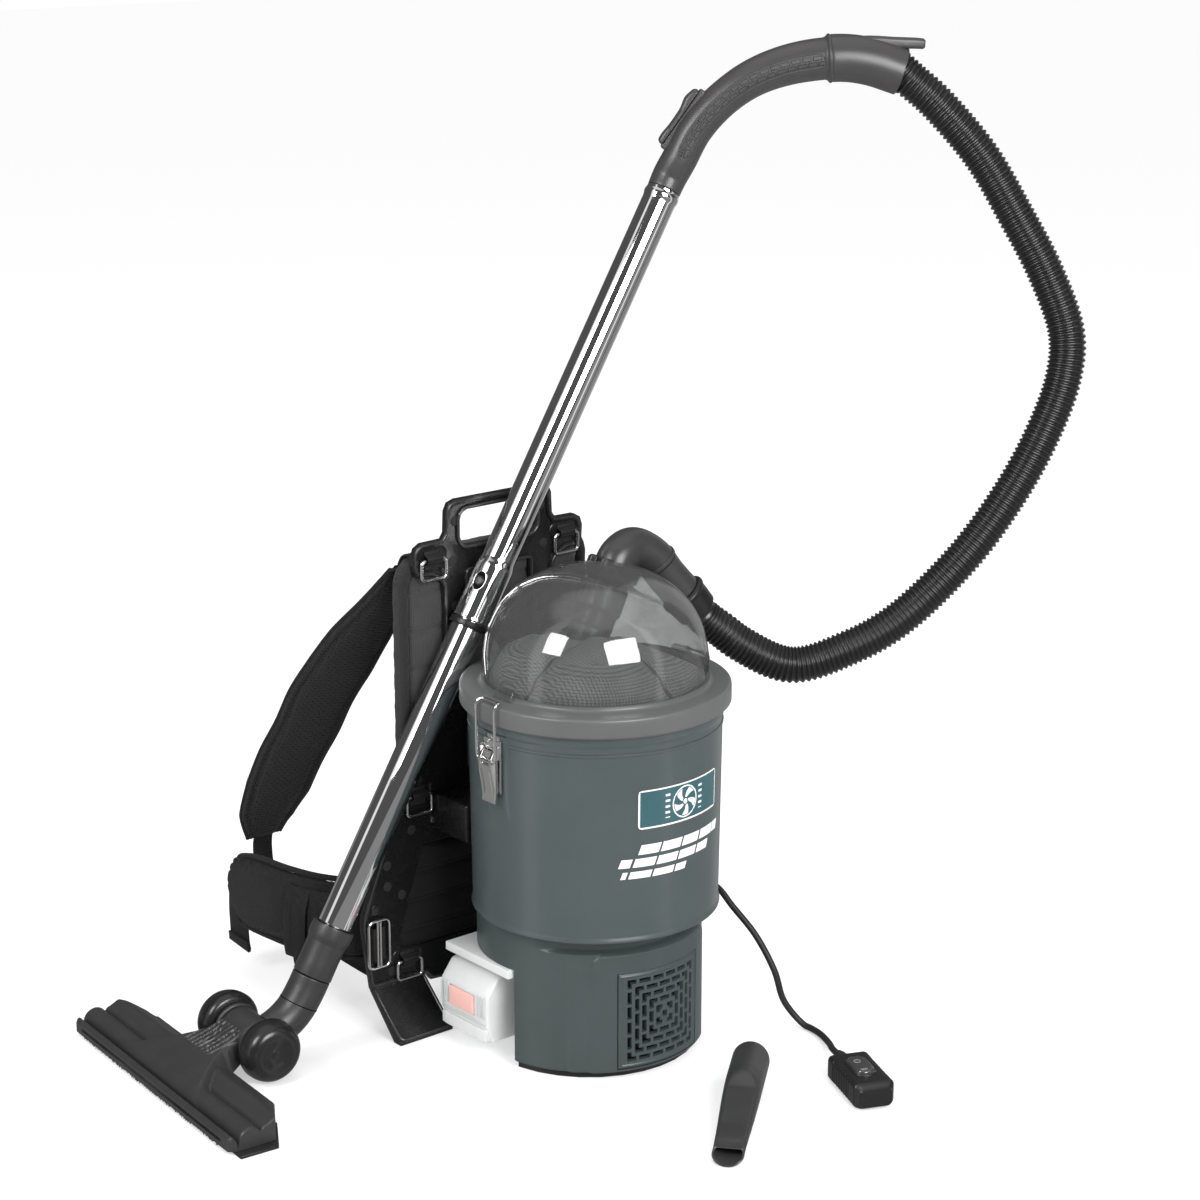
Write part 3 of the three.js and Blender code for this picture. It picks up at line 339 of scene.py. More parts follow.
# ------------------------------------------------------------------ geometry (all in millimetres)
def make(name, verts, faces, mats, body=None, rep=(), angle=32, fmat=None, smooth=True):
    me = bpy.data.meshes.new(name)
    me.from_pydata([tuple(v) for v in (np.asarray(verts, float) * 0.001)], [], [tuple(int(i) for i in f) for f in faces])
    me.update()
    o = bpy.data.objects.new(name, me)
    bpy.context.scene.collection.objects.link(o)
    for m in (mats if isinstance(mats, (list, tuple)) else [mats]):
        me.materials.append(m)
    if fmat is not None:
        me.polygons.foreach_set("material_index", np.asarray(fmat, np.int32))
    if smooth:
        me.polygons.foreach_set("use_smooth", np.ones(len(me.polygons), bool))
        if angle:
            me.set_sharp_from_angle(angle=math.radians(angle))
    place(o, body, rep)
    return o


def place(o, body=None, rep=()):
    if rep:
        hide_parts(*rep)
    if body:
        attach(o, body)
    return o


def grid(nu, nv, cu=False, cv=False, off=0, flip=False):
    """Quads of an nu x nv grid of points numbered u-major."""
    f = []
    for i in range(nu if cu else nu - 1):
        for j in range(nv if cv else nv - 1):
            a, b = i * nv + j, ((i + 1) % nu) * nv + j
            c, d = ((i + 1) % nu) * nv + (j + 1) % nv, i * nv + (j + 1) % nv
            f.append((off + a, off + d, off + c, off + b) if flip else (off + a, off + b, off + c, off + d))
    return f


def rounded(prof, r, n=3, closed=False):
    """Rounds the corners of an open polyline; r is one radius or one per point."""
    P = [np.array(p, float) for p in prof]
    k = len(P)
    rr = [r] * k if isinstance(r, (int, float)) else list(r)
    out = []
    for i, p in enumerate(P):
        if (not closed and i in (0, k - 1)) or rr[i] <= 0:
            out.append(p); continue
        a, b = P[(i - 1) % k] - p, P[(i + 1) % k] - p
        la, lb = np.linalg.norm(a), np.linalg.norm(b)
        if la < 1e-6 or lb < 1e-6:
            out.append(p); continue
        t = min(rr[i], la * 0.45, lb * 0.45)
        s, e = p + a / la * t, p + b / lb * t
        for q in range(n + 1):
            w = q / n
            out.append((1 - w) ** 2 * s + 2 * w * (1 - w) * p + w * w * e)
    return np.array(out)


def lathe(prof, seg=96, closed=False):
    P = np.asarray(prof, float)
    a = np.arange(seg) * 2 * PI / seg
    v = np.stack([np.outer(np.cos(a), P[:, 0]), np.outer(np.sin(a), P[:, 0]), np.tile(P[:, 1], (seg, 1))], -1).reshape(-1, 3)
    return v, grid(seg, len(P), True, closed)


def frame_z(at, d, xh=(1, 0, 0)):
    z = unit(np.asarray(d, float)); x = np.asarray(xh, float); x = unit(x - z * (x @ z)); y = np.cross(z, x)
    m = np.eye(4); m[:3, 0], m[:3, 1], m[:3, 2], m[:3, 3] = x, y, z, at
    return m


def xf(v, m):
    return v @ m[:3, :3].T + m[:3, 3]


def lathe_at(name, prof, m, mats, body, rep=(), seg=64, closed=True, r=0.6, n=3, angle=32, scale=None):
    p = rounded(prof, r, n, closed) if r else np.array(prof, float)
    v, f = lathe(p, seg, closed)
    if scale is not None:
        v = v * np.array(scale)
    return make(name, xf(v, m), f, mats, body, rep, angle)


def catmull(P, n):
    """Centripetal Catmull-Rom through P, n + 1 points, evenly spaced in the curve's own parameter."""
    P = [np.array(p, float) for p in P]
    l = len(P); out = []
    for k in range(n + 1):
        p = (l - 1) * k / n; i = int(p); w = p - i
        if i >= l - 1:
            i, w = l - 2, 1.0
        p1, p2 = P[i], P[i + 1]
        p0 = P[i - 1] if i > 0 else 2 * P[0] - P[1]
        p3 = P[i + 2] if i + 2 < l else 2 * P[-1] - P[-2]
        d = lambda a, b: ((a - b) @ (a - b)) ** 0.25
        d0, d1, d2 = d(p0, p1), d(p1, p2), d(p2, p3)
        d1 = 1 if d1 < 1e-4 else d1
        d0 = d1 if d0 < 1e-4 else d0
        d2 = d1 if d2 < 1e-4 else d2
        t1 = ((p1 - p0) / d0 - (p2 - p0) / (d0 + d1) + (p2 - p1) / d1) * d1
        t2 = ((p2 - p1) / d1 - (p3 - p1) / (d1 + d2) + (p3 - p2) / d2) * d1
        out.append(p1 + t1 * w + (-3 * p1 + 3 * p2 - 2 * t1 - t2) * w * w + (2 * p1 - 2 * p2 + t1 + t2) * w ** 3)
    return np.array(out)


def resample(P, step, extra=None):
    """Even arc-length points along polyline P; extra is a per-point array carried along."""
    d = np.r_[0, np.cumsum(np.linalg.norm(np.diff(P, axis=0), axis=1))]
    n = max(2, int(round(d[-1] / step)))
    s = np.linspace(0, d[-1], n + 1)
    Q = np.stack([np.interp(s, d, P[:, k]) for k in range(3)], 1)
    return (Q, s) if extra is None else (Q, s, np.interp(s, d, extra))


def frames(P, up=None):
    T = np.gradient(P, axis=0); T /= np.linalg.norm(T, axis=1)[:, None]
    out = []; vv = np.array(up if up is not None else ((0, 0, 1) if abs(T[0][2]) < 0.9 else (1, 0, 0)), float)
    for t in T:
        src = np.array(up, float) if up is not None else vv
        w = unit(src - t * (src @ t)); vv = w
        out.append((np.cross(t, w), w))
    return T, np.array([a for a, b in out]), np.array([b for a, b in out])


def sweep(P, sec, up=None, caps=True):
    """sec is an (m, 2) array or a function of index giving one; v follows the up hint."""
    T, A, B = frames(P, up)
    f = sec if callable(sec) else (lambda i: sec)
    n = len(P); m = len(f(0))
    v = np.concatenate([P[i] + np.outer(f(i)[:, 0], A[i]) + np.outer(f(i)[:, 1], B[i]) for i in range(n)])
    F = grid(n, m, False, True)
    if caps:
        F.append(tuple(range(m - 1, -1, -1))); F.append(tuple((n - 1) * m + k for k in range(m)))
        F[-2] = tuple(reversed(F[-2])); F[-1] = tuple(reversed(F[-1]))
    return v, F


def circ(r, n=24, ry=None):
    a = np.arange(n) * 2 * PI / n
    return np.stack([r * np.cos(a), (r if ry is None else ry) * np.sin(a)], 1)


def rrect(w, h, r, n=4):
    p = []
    for sx, sy, a0 in ((1, 1, 0), (-1, 1, 90), (-1, -1, 180), (1, -1, 270)):
        for i in range(n + 1):
            a = math.radians(a0 + 90 * i / n)
            p.append((sx * (w / 2 - r) + r * math.cos(a), sy * (h / 2 - r) + r * math.sin(a)))
    return np.array(p)


def loop_wire(name, P, r, mats, body, rep=(), seg=12):
    """A closed wire through P."""
    P = np.asarray(P, float); n = len(P)
    T = np.roll(P, -1, 0) - np.roll(P, 1, 0); T /= np.linalg.norm(T, axis=1)[:, None]
    nrm = unit(sum(np.cross(P[i], P[(i + 1) % n]) for i in range(n)))
    U = np.cross(T, nrm); U /= np.linalg.norm(U, axis=1)[:, None]
    c = circ(r, seg)
    v = np.concatenate([P[i] + np.outer(c[:, 0], U[i]) + np.outer(c[:, 1], nrm) for i in range(n)])
    return make(name, v, grid(n, seg, True, True), mats, body, rep, None)


def mirror_x(v):
    return np.asarray(v) * np.array([-1, 1, 1])


def flip(F):
    return [tuple(reversed(f)) for f in F]


def smoothstep(a, b, x):
    t = np.clip((x - a) / (b - a), 0, 1)
    return t * t * (3 - 2 * t)


def smax(a, b, k):
    h = np.clip(0.5 + 0.5 * (a - b) / k, 0, 1)
    return b + (a - b) * h + k * h * (1 - h)


def refine(node, mat, width=0.5, seg=2, angle=30, merge=0.002, smooth_angle=32, name=None, rep=None):
    """A cleaned copy of a CAD node with softened edges. It keeps the node's shape and stands for it."""
    src = frame["nodes"][node]
    bm = bmesh.new(); bm.from_mesh(src.data)
    bmesh.ops.remove_doubles(bm, verts=bm.verts, dist=merge / 1000)
    bmesh.ops.dissolve_limit(bm, angle_limit=math.radians(0.6), verts=bm.verts, edges=bm.edges)
    bmesh.ops.recalc_face_normals(bm, faces=bm.faces)
    me = bpy.data.meshes.new(name or "vis_" + node); bm.to_mesh(me); bm.free()
    o = bpy.data.objects.new(name or "vis_" + node, me)
    bpy.context.scene.collection.objects.link(o)
    me.materials.clear(); me.materials.append(mat)
    me.polygons.foreach_set("use_smooth", np.ones(len(me.polygons), bool))
    if width:
        b = o.modifiers.new("soft", "BEVEL")
        b.width = width / 1000; b.segments = seg; b.limit_method = "ANGLE"; b.angle_limit = math.radians(angle)
        b.use_clamp_overlap = True; b.harden_normals = False; b.miter_outer = "MITER_ARC"
        bake(o)
    o.data.set_sharp_from_angle(angle=math.radians(smooth_angle))
    place(o, next(b for b, ns in frame["record"]["behaviour"]["bodies"].items() if node in ns), (node,) if rep is None else rep)
    return o


def bake(o):
    """Applies every modifier."""
    dg = bpy.context.evaluated_depsgraph_get()
    dg.update()
    me = bpy.data.meshes.new_from_object(o.evaluated_get(dg), depsgraph=dg)
    o.modifiers.clear()
    o.data = me
    return o


def cutter(name, v, f):
    me = bpy.data.meshes.new(name); me.from_pydata([tuple(x) for x in np.asarray(v, float) * 0.001], [], f); me.update()
    bm = bmesh.new(); bm.from_mesh(me); bmesh.ops.recalc_face_normals(bm, faces=bm.faces); bm.to_mesh(me); bm.free()
    o = bpy.data.objects.new(name, me); bpy.context.scene.collection.objects.link(o)
    return o


def subtract(o, *cs):
    for c in cs:
        m = o.modifiers.new("cut", "BOOLEAN"); m.operation = "DIFFERENCE"; m.object = c; m.solver = "EXACT"
    bake(o)
    for c in cs:
        bpy.data.objects.remove(c)
    return o


def box_vf(x0, x1, y0, y1, z0, z1):
    v = [(x, y, z) for x in (x0, x1) for y in (y0, y1) for z in (z0, z1)]
    f = [(0, 1, 3, 2), (4, 6, 7, 5), (0, 4, 5, 1), (2, 3, 7, 6), (0, 2, 6, 4), (1, 5, 7, 3)]
    return np.array(v, float), f


I4 = np.eye(4)
UNIT = "unit"

# ------------------------------------------------------------------ canister
prof = [(122.5, 153), (126.6, 153), (127.3, 154.6), (126.6, 156.8), (125.8, 159), (128.3, 352), (128.4, 356), (130.2, 358.8), (130.2, 366), (125.2, 366), (125.2, 356), (123.2, 160.5), (42, 160.5), (42, 157), (110, 157)]
lathe_at("canister_shell", prof, I4, [M["shell"]], UNIT, ("canister_body",), 160, True, [0.8, 1.0, 1.0, 1.2, 2, 4, 2, 1.2, 0.8, 0.6, 0.6, 1, 0.5, 0.5, 1], 3)
# the moulded bead just under the rim
lathe_at("canister_bead", [(128.2, 346.6), (129.3, 347.2), (129.3, 349.4), (128.2, 350)], I4, [M["shell"]], UNIT, (), 160, True, 0.5, 2)
# a long moulded ledge under each latch
for s, n in ((-1, "L"), (1, "R")):
    ys = np.linspace(-19, 19, 25); zs = np.linspace(262, 357, 30)
    pts = []
    for y in ys:
        for z in zs:
            e = 1 - np.clip(max(abs(y) / 19, 0) ** 10, 0, 1)
            lift = 1.9 * smoothstep(262, 300, z) * e
            rad = 128.4 - 2.6 * (356 - z) / 198
            a = y / rad
            pts.append((s * (rad + lift) * math.cos(a), (rad + lift) * math.sin(a), z))
    make("latch_ledge_" + n, pts, grid(25, 30, flip=s < 0), [M["shell"]], UNIT, (), 60)

# ------------------------------------------------------------------ base
NA = 540
az = np.arange(NA) * 2 * PI / NA - PI            # measured from -Y towards +X
zz = np.concatenate([np.linspace(6.6, 152.0, 120), [152.6]])
A, Z = np.meshgrid(az, zz, indexing="ij")
ad = np.degrees(A)
edge_l = smoothstep(-41.0, -37.6, ad) * (1 - smoothstep(37.6, 41.0, ad))
top_z = 133 - 14 * (1 - np.sqrt(np.clip(1 - np.clip((np.abs(ad) - 31) / 8, 0, 1) ** 2, 0, 1)))
up = 1 - smoothstep(top_z - 1.4, top_z + 2.2, Z)
R = 116 + 2.4 * edge_l * up
band = smoothstep(133, 137.5, Z) * smoothstep(-72, -50, ad) * (1 - smoothstep(56, 70, ad))
R = R - 5.6 * band
R = R - 0.9 * np.exp(-((ad + 52.5) / 2.6) ** 2) * (1 - smoothstep(126, 136, Z)) + 0.9 * np.exp(-((ad + 48.0) / 2.2) ** 2) * (1 - smoothstep(124, 134, Z))
R = R - 1.2 * (1 - smoothstep(6.6, 8.4, Z))
outer = np.stack([R * np.sin(A), 10 - R * np.cos(A), Z], -1)
inner_r = 109.5
inner = np.stack([inner_r * np.sin(A), 10 - inner_r * np.cos(A), np.clip(Z, 6.6, 148.5)], -1)
n1 = NA * len(zz)
verts = np.concatenate([outer.reshape(-1, 3), inner.reshape(-1, 3), [[0, 10, 152.6]], [[0, 10, 148.5]]])
F = grid(NA, len(zz), True) + grid(NA, len(zz), True, off=n1, flip=True)
k = len(zz)
for i in range(NA):
    j = (i + 1) % NA
    F.append((i * k, n1 + i * k, n1 + j * k, j * k))
    F.append((i * k + k - 1, j * k + k - 1, 2 * n1))
    F.append((n1 + j * k + k - 1, n1 + i * k + k - 1, 2 * n1 + 1))
base = make("base_shell", verts, F, [M["base"]], None, (), None)
bm = bmesh.new(); bm.from_mesh(base.data); bmesh.ops.recalc_face_normals(bm, faces=bm.faces); bm.to_mesh(base.data); bm.free()
bay = cutter("c1", *box_vf(-150, -62, -9, 103, -5, 106))
gv, gf = [], []
na = 24
for i in range(na + 1):
    a = math.radians(-26.25 + 52.5 * i / na)
    for r, z in ((104, 9.1), (126, 9.1), (126, 112.9), (104, 112.9)):
        gv.append((r * math.sin(a), 10 - r * math.cos(a), z))
for i in range(na):
    for q in range(4):
        a, b = i * 4 + q, i * 4 + (q + 1) % 4
        gf.append((a, b, b + 4, a + 4))
gf += [(3, 2, 1, 0), (na * 4, na * 4 + 1, na * 4 + 2, na * 4 + 3)]
win = cutter("c2", gv, gf)
subtract(base, bay, win)
base.data.set_sharp_from_angle(angle=math.radians(28))
place(base, UNIT, ("base_housing",))
# bay lining behind the battery
bv, bf = box_vf(-61.9, -60.4, -10.5, 104.5, 4, 107.5)
make("bay_wall", bv, bf, [M["base"]], UNIT, (), 30)
bv, bf = box_vf(-112, -61, -10.6, -9.1, 6.6, 107)
make("bay_side_a", bv, bf, [M["base"]], UNIT, (), 30)
bv, bf = box_vf(-72, -61, 103.1, 104.4, 6.6, 107)
make("bay_side_b", bv, bf, [M["base"]], UNIT, (), 30)
bv, bf = box_vf(-42, 42, 104, 155.5, 43.5, 75.5)
o = make("base_boss", bv, bf, [M["base"]], UNIT, (), 30)
b = o.modifiers.new("soft", "BEVEL"); b.width = 0.003; b.segments = 3

# ---- exhaust grille: concentric rings of short slots on a curved panel
nu, nz = 232, 212
u = np.linspace(-53.4, 53.4, nu); z = np.linspace(-51.3, 51.3, nz)
U, Zg = np.meshgrid(u, z, indexing="ij")
mx = np.maximum(np.abs(U), np.abs(Zg)); s = np.where(np.abs(U) > np.abs(Zg), Zg, U)
slot_d = np.zeros_like(U)
for kk in range(5):
    Rk = 8.3 * (kk + 1)
    on = np.abs(mx - Rk) < 2.15
    sa = np.abs(s)
    arm = 7.2 if kk else 5.2
    corner = sa > Rk - arm
    H = Rk - arm - 3.6
    if H > 2.5:
        nb = max(1, int(round(2 * H / 14.5)))
        cell = 2 * H / nb + 3.6 / nb
        ph = (s + H + 1.8) / cell
        fr = np.abs(ph - np.floor(ph) - 0.5) * cell
        mid = (fr < (cell - 3.6) / 2) & (sa < H + 1.8)
    else:
        mid = np.zeros_like(on)
    slot_d[on & (corner | mid)] = 1
slot_d[(np.abs(U) < 3.0) & (np.abs(Zg) < 3.0)] = 1
border = np.minimum(53.4 - np.abs(U), 51.3 - np.abs(Zg))
ridge = np.exp(-((border - 3.2) / 0.9) ** 2) * 0.9
rr = 118.4 + ridge - 5.0 * slot_d - 1.2 * (1 - smoothstep(0, 1.2, border))
aa = U / 118.4
gv = np.stack([rr * np.sin(aa), 10 - rr * np.cos(aa), 61 + Zg], -1).reshape(-1, 3)
F = grid(nu, nz)
# faces on each slot's bottom get the near-black material: painted shade in the deep slots
fm = [(1 if slot_d.reshape(-1)[[f[0], f[1], f[2], f[3]]].min() > 0.5 else 0) for f in F]
make("grille_panel", gv, F, [M["base"], M["void"]], UNIT, ("exhaust_grille",), 40, fm)
refine("base_cover", M["dark"], 0.6)

# ------------------------------------------------------------------ badges: a plain fan mark and slanted bars
def badge(name, r, z0, z1, a0, a1, mask_fn, mats, rep, th=0.5, step=0.45, slant=0.0):
    w = math.radians(a1 - a0) * r; h = z1 - z0
    nu, nv = int(w / step), int(h / step)
    uu = np.linspace(0, w, nu); vv = np.linspace(0, h, nv)
    U, W = np.meshgrid(uu, vv, indexing="ij")
    keep, mi = mask_fn(U / w, W / h, U, W, w, h)
    rad = 125.8 + 2.6 * (z0 + W - 158) / 198 + th
    a = math.radians(a0) + (U + slant * W) / r
    v = np.stack([rad * np.sin(a), -rad * np.cos(a), z0 + W], -1).reshape(-1, 3)
    F = grid(nu, nv); kf, fm = [], []
    K, MI = keep.reshape(-1), mi.reshape(-1)
    for f in F:
        if K[list(f)].all():
            kf.append(f); fm.append(int(MI[f[0]]))
    used = sorted({i for f in kf for i in f}); ix = {a: b for b, a in enumerate(used)}
    o = make(name, v[used], [tuple(ix[i] for i in f) for f in kf], mats, UNIT, rep, 40, fm)
    sld = o.modifiers.new("thick", "SOLIDIFY"); sld.thickness = 0.0005; sld.offset = -1
    return o


def icon(Un, Vn, U, W, w, h):
    x, y = U - w / 2, W - h / 2
    keep = np.ones_like(U, bool)
    rc = 3.0
    dx, dy = np.abs(x) - (w / 2 - rc), np.abs(y) - (h / 2 - rc)
    keep = ~((dx > 0) & (dy > 0) & (dx * dx + dy * dy > rc * rc))
    rr = np.hypot(x, y); th = np.arctan2(y, x)
    m = np.zeros_like(U)
    bladed = (np.mod(th * 5 / (2 * PI) + rr * 0.035, 1) < 0.46) & (rr < 14.2) & (rr > 4.2)
    m[bladed] = 1
    m[rr < 2.6] = 1
    m[(rr > 15.2) & (rr < 16.6)] = 1
    edge = np.minimum(w / 2 - np.abs(x), h / 2 - np.abs(y))
    m[(edge < 1.6)] = 1
    lines = (np.abs(x) > 19.5) & (np.abs(x) < 25.0) & (np.mod(y + 50, 6.0) < 2.6) & (np.abs(y) < 12.5)
    m[lines] = 1
    return keep, m


def bars(Un, Vn, U, W, w, h):
    keep = np.zeros_like(U, bool)
    for k0, (lo, hi, a, b) in enumerate([(0.00, 0.22, 0.05, 0.62), (0.33, 0.60, 0.0, 0.86), (0.71, 1.0, 0.12, 1.0)]):
        keep |= (Vn >= lo) & (Vn <= hi) & (Un >= a) & (Un <= b)
    gap = np.abs(np.mod(Un * w, 26.0) - 13.0) < 1.1
    keep &= ~gap
    return keep, np.zeros_like(U)


badge("badge_fan_icon", 128.2, 270.5, 310.5, -21, 28, icon, [M["badge"], M["white"]], ("badge_icon",), 0.55)
badge("badge_bars", 127.6, 220, 254, -32, 26, bars, [M["white"]], ("badge_stripes",), 0.45, 0.5, 0.38)

# ------------------------------------------------------------------ inside the base
refine("motor_body", M["motor"], 0.8)
refine("fan_impeller", M["steel"], 0.0)
refine("fan_shroud", M["dark"], 0.4)
refine("motor_filter", M["foam"], 1.2)

# ------------------------------------------------------------------ battery and its platform
refine("battery_adapter", M["pale"], 1.2, 3)


def shell_loft(name, rings, mats, body, rep=(), bev=1.2, angle=30, fm=None):
    """rings: equal-length loops of points."""
    k = len(rings[0]); v = np.concatenate([np.asarray(r, float) for r in rings])
    F = grid(len(rings), k, False, True)
    F.append(tuple(range(k))); F.append(tuple((len(rings) - 1) * k + i for i in range(k - 1, -1, -1)))
    o = make(name, v, F, mats, None, (), None)
    bm = bmesh.new(); bm.from_mesh(o.data); bmesh.ops.recalc_face_normals(bm, faces=bm.faces); bm.to_mesh(o.data); bm.free()
    if bev:
        b = o.modifiers.new("soft", "BEVEL"); b.width = bev / 1000; b.segments = 3; b.limit_method = "ANGLE"; b.angle_limit = math.radians(25)
        bake(o)
    o.data.polygons.foreach_set("use_smooth", np.ones(len(o.data.polygons), bool))
    o.data.set_sharp_from_angle(angle=math.radians(angle))
    place(o, body, rep)
    return o


def prism_y(pts, y0, y1, ins=0.0):
    """Rings of an (x, z) polygon from y0 to y1."""
    P = np.array(pts, float); c = P.mean(0)
    def r(y, k):
        Q = c + (P - c) * k
        return np.stack([Q[:, 0], np.full(len(Q), y), Q[:, 1]], 1)
    return [r(y0, 1 - ins), r(y0 + (y1 - y0) * 0.12, 1), r(y1 - (y1 - y0) * 0.12, 1), r(y1, 1 - ins)]


pk = [(-121, 16), (-64.2, 16), (-64.2, 92.2), (-100, 92.2), (-114, 88), (-128, 70), (-128, 36)]
o = shell_loft("battery_case", prism_y(pk, 19, 97, 0.06), [M["pale"]], None, (), 2.0)
subtract(o, cutter("c3", *box_vf(-132, -121.8, 39.5, 80.5, 44, 66)))
o.data.set_sharp_from_angle(angle=math.radians(30))
place(o, "battery", ("battery_pack",))
# raised bands and side grips on the pack
for i, (z0, z1) in enumerate(((20, 33), (37, 41))):
    shell_loft("battery_band_%d" % i, prism_y([(-129.2, z0), (-66, z0), (-66, z1), (-129.2, z1)], 22, 94, 0.03), [M["pale_dark"] if i else M["pale"]], "battery", (), 1.0)
for i, y in enumerate((24, 29, 34, 84, 89, 94)):
    shell_loft("battery_rib_%d" % i, [np.array([(-129.0, y - 1.1, 45), (-127, y - 1.1, 45), (-127, y + 1.1, 45), (-129.0, y + 1.1, 45)], float), np.array([(-129.0, y - 1.1, 68), (-127, y - 1.1, 68), (-127, y + 1.1, 68), (-129.0, y + 1.1, 68)], float)], [M["pale_dark"]], "battery", (), 0.5)
lt = [(-130.2, 47), (-129.6, 44.5), (-126.4, 44.5), (-126.4, 65.5), (-129.2, 65.5), (-130.2, 63)]
shell_loft("battery_latch_cap", prism_y(lt, 40, 80, 0.02), [M["pale_red"]], "battery_release", ("battery_latch",), 1.0)

# ------------------------------------------------------------------ filter ring and bag
prof = [(110, 366.8), (134.0, 366.8), (134.2, 369), (134.2, 384), (132.6, 385.5), (124.5, 385.5), (121.5, 381.4), (110, 381)]
lathe_at("filter_rim", prof, I4, [M["rim"]], "filter", ("filter_ring",), 144, True, 1.0, 3)
lathe_at("filter_hoop", [(103.2, 378), (110.4, 378), (110.4, 386.5), (107, 388.5), (103.2, 388.5)], I4, [M["inner_ring"]], "filter", (), 144, True, 1.2, 3)
nA, nR = 288, 64
ang = np.arange(nA) * 2 * PI / nA; t = np.linspace(0, 1, nR)
AA, TT = np.meshgrid(ang, t, indexing="ij")
lv = np.array([[104, 381.6], [101, 398], [90, 418], [62, 433], [28, 438], [0, 438]], float)
ls = np.r_[0, np.cumsum(np.linalg.norm(np.diff(lv, axis=0), axis=1))]; ls /= ls[-1]
r0 = np.interp(TT, ls, lv[:, 0]); z0 = np.interp(TT, ls, lv[:, 1])
ph = 4 * (AA - math.radians(-128)) / 2
lob = np.abs(np.cos(ph)) ** 0.55
puff = smoothstep(0.0, 0.25, TT) * (1 - smoothstep(0.75, 1.0, TT))
q = r0 * (1 + 0.085 * (lob - 0.62) * smoothstep(0, 0.2, TT))
x, y = q * np.cos(AA), q * np.sin(AA)
zf = z0 - (1 - lob) * 15 * puff + 3.2 * np.sin(AA * 9 + TT * 5) * puff * 0.25
limit = np.minimum(474 - 0.53 * (x + 60), 394 + 1.1 * np.maximum(0, np.hypot(x - 24, y - 44) - 27))
zf = np.where(z0 < 382, zf, -smax(-zf, -limit, 6.0))
zf = np.maximum(zf, 381.6 + (TT > 0.02) * 0.0)
v = np.stack([x, y, zf], -1).reshape(-1, 3)
F = grid(nA, nR - 1 + 1, True, False)
fm = []
TTf = TT.reshape(-1)
for f in F:
    fm.append(0 if TTf[f[0]] < 0.42 else 1)
make("filter_cloth", v, F, [M["filter"], M["filter_top"]], "filter", ("filter_bag",), 45, fm)
# seams that run down the valleys between the gores
for i in range(4):
    a = math.radians(-128) + (2 * i + 1) * PI / 4
    col = int(round((a % (2 * PI)) / (2 * PI) * nA)) % nA
    P = v.reshape(nA, nR, 3)[col, 2:50] + np.array([0, 0, 0.9])
    sv, sf = sweep(P, rrect(5.0, 1.4, 0.6, 2), up=(0, 0, 1))
    make("filter_seam_%d" % i, sv, sf, [M["seam"]], "filter", (), 50)

# ------------------------------------------------------------------ clear lid
PORT, PU = V(37.2, 44.5, 437.4), unit(V(0.468, 0, 0.883))
FP = PORT + 38 * PU
dome = rounded([(114.8, 380), (114.8, 394), (113.6, 420), (108.5, 443), (97, 465), (79, 483), (52, 497.5), (24, 503.5), (0, 504.6), (-24, 503.5)], 14, 6)
dome = dome[dome[:, 0] >= -0.01]
d_r, d_z = dome[:, 0], dome[:, 1]


def dome_sdf(p):
    """Signed distance to the body of revolution, approximated against its profile polyline (negative inside)."""
    r, z = np.hypot(p[:, 0], p[:, 1]), p[:, 2]
    best = np.full(len(p), 1e9); sign = np.ones(len(p))
    for i in range(len(d_r) - 1):
        ax, az_, bx, bz = d_r[i], d_z[i], d_r[i + 1], d_z[i + 1]
        ex, ez = bx - ax, bz - az_
        l2 = ex * ex + ez * ez
        if l2 < 1e-9:
            continue
        tt = np.clip(((r - ax) * ex + (z - az_) * ez) / l2, 0, 1)
        dx, dz = r - (ax + tt * ex), z - (az_ + tt * ez)
        dd = np.hypot(dx, dz)
        side = -(ex * dz - ez * dx)
        m = dd < best
        best = np.where(m, dd, best); sign = np.where(m, np.where(side < 0, -1.0, 1.0), sign)
    return best * sign


def lid_f(p, d):
    """Negative inside the lid body inset by d."""
    a = dome_sdf(p) + d
    zc = (p - FP) @ PU + d
    xl = (p - FP) @ V(0.883, 0, -0.468) + 45 + d
    yl = 36 + d - np.abs(p[:, 1] - 44.5)
    return smax(a, -smax(smax(-zc, -xl, 4.0), -yl, 4.0), 2.6)


C0 = V(0, -34, 394.0)
nph, nth = 320, 130
phs = np.arange(nph) * 2 * PI / nph
ths = np.linspace(0.0, PI / 2, nth)
PH, TH = np.meshgrid(phs, ths, indexing="ij")
D = np.stack([np.sin(TH) * np.cos(PH), np.sin(TH) * np.sin(PH), np.cos(TH)], -1).reshape(-1, 3)


def cast(d):
    lo, hi = np.zeros(len(D)), np.full(len(D), 190.0)
    for _ in range(26):
        mid = (lo + hi) / 2
        ins = lid_f(C0 + D * mid[:, None], d) < 0
        lo, hi = np.where(ins, mid, lo), np.where(ins, hi, mid)
    return C0 + D * lo[:, None]


out_p = cast(0.0).reshape(nph, nth, 3)
in_p = cast(2.3).reshape(nph, nth, 3)
make("lid_dome_outer", out_p.reshape(-1, 3), grid(nph, nth, True, False), [M["clear"]], "lid", ("dome_lid",), None)
make("lid_dome_inner", in_p.reshape(-1, 3), grid(nph, nth, True, False, flip=True), [M["clear"]], "lid", (), None)
# skirt: from the dome's foot over the rim ring
prof = [(114.8, 394.0), (115.4, 390.6), (118.5, 389.1), (134.5, 388.0), (136.6, 386.8), (137, 384), (137, 369.3), (134.9, 369.3), (134.9, 384.6), (133.6, 386.1), (116.4, 386.9), (113.4, 388.6), (112.5, 394.0)]
lathe_at("lid_skirt", prof, I4, [M["rim"]], "lid", (), 200, False, [0, 2, 2, 2, 1.5, 1.5, 0.6, 0.6, 1.0, 1.0, 1.5, 1.5, 0], 4, 60)
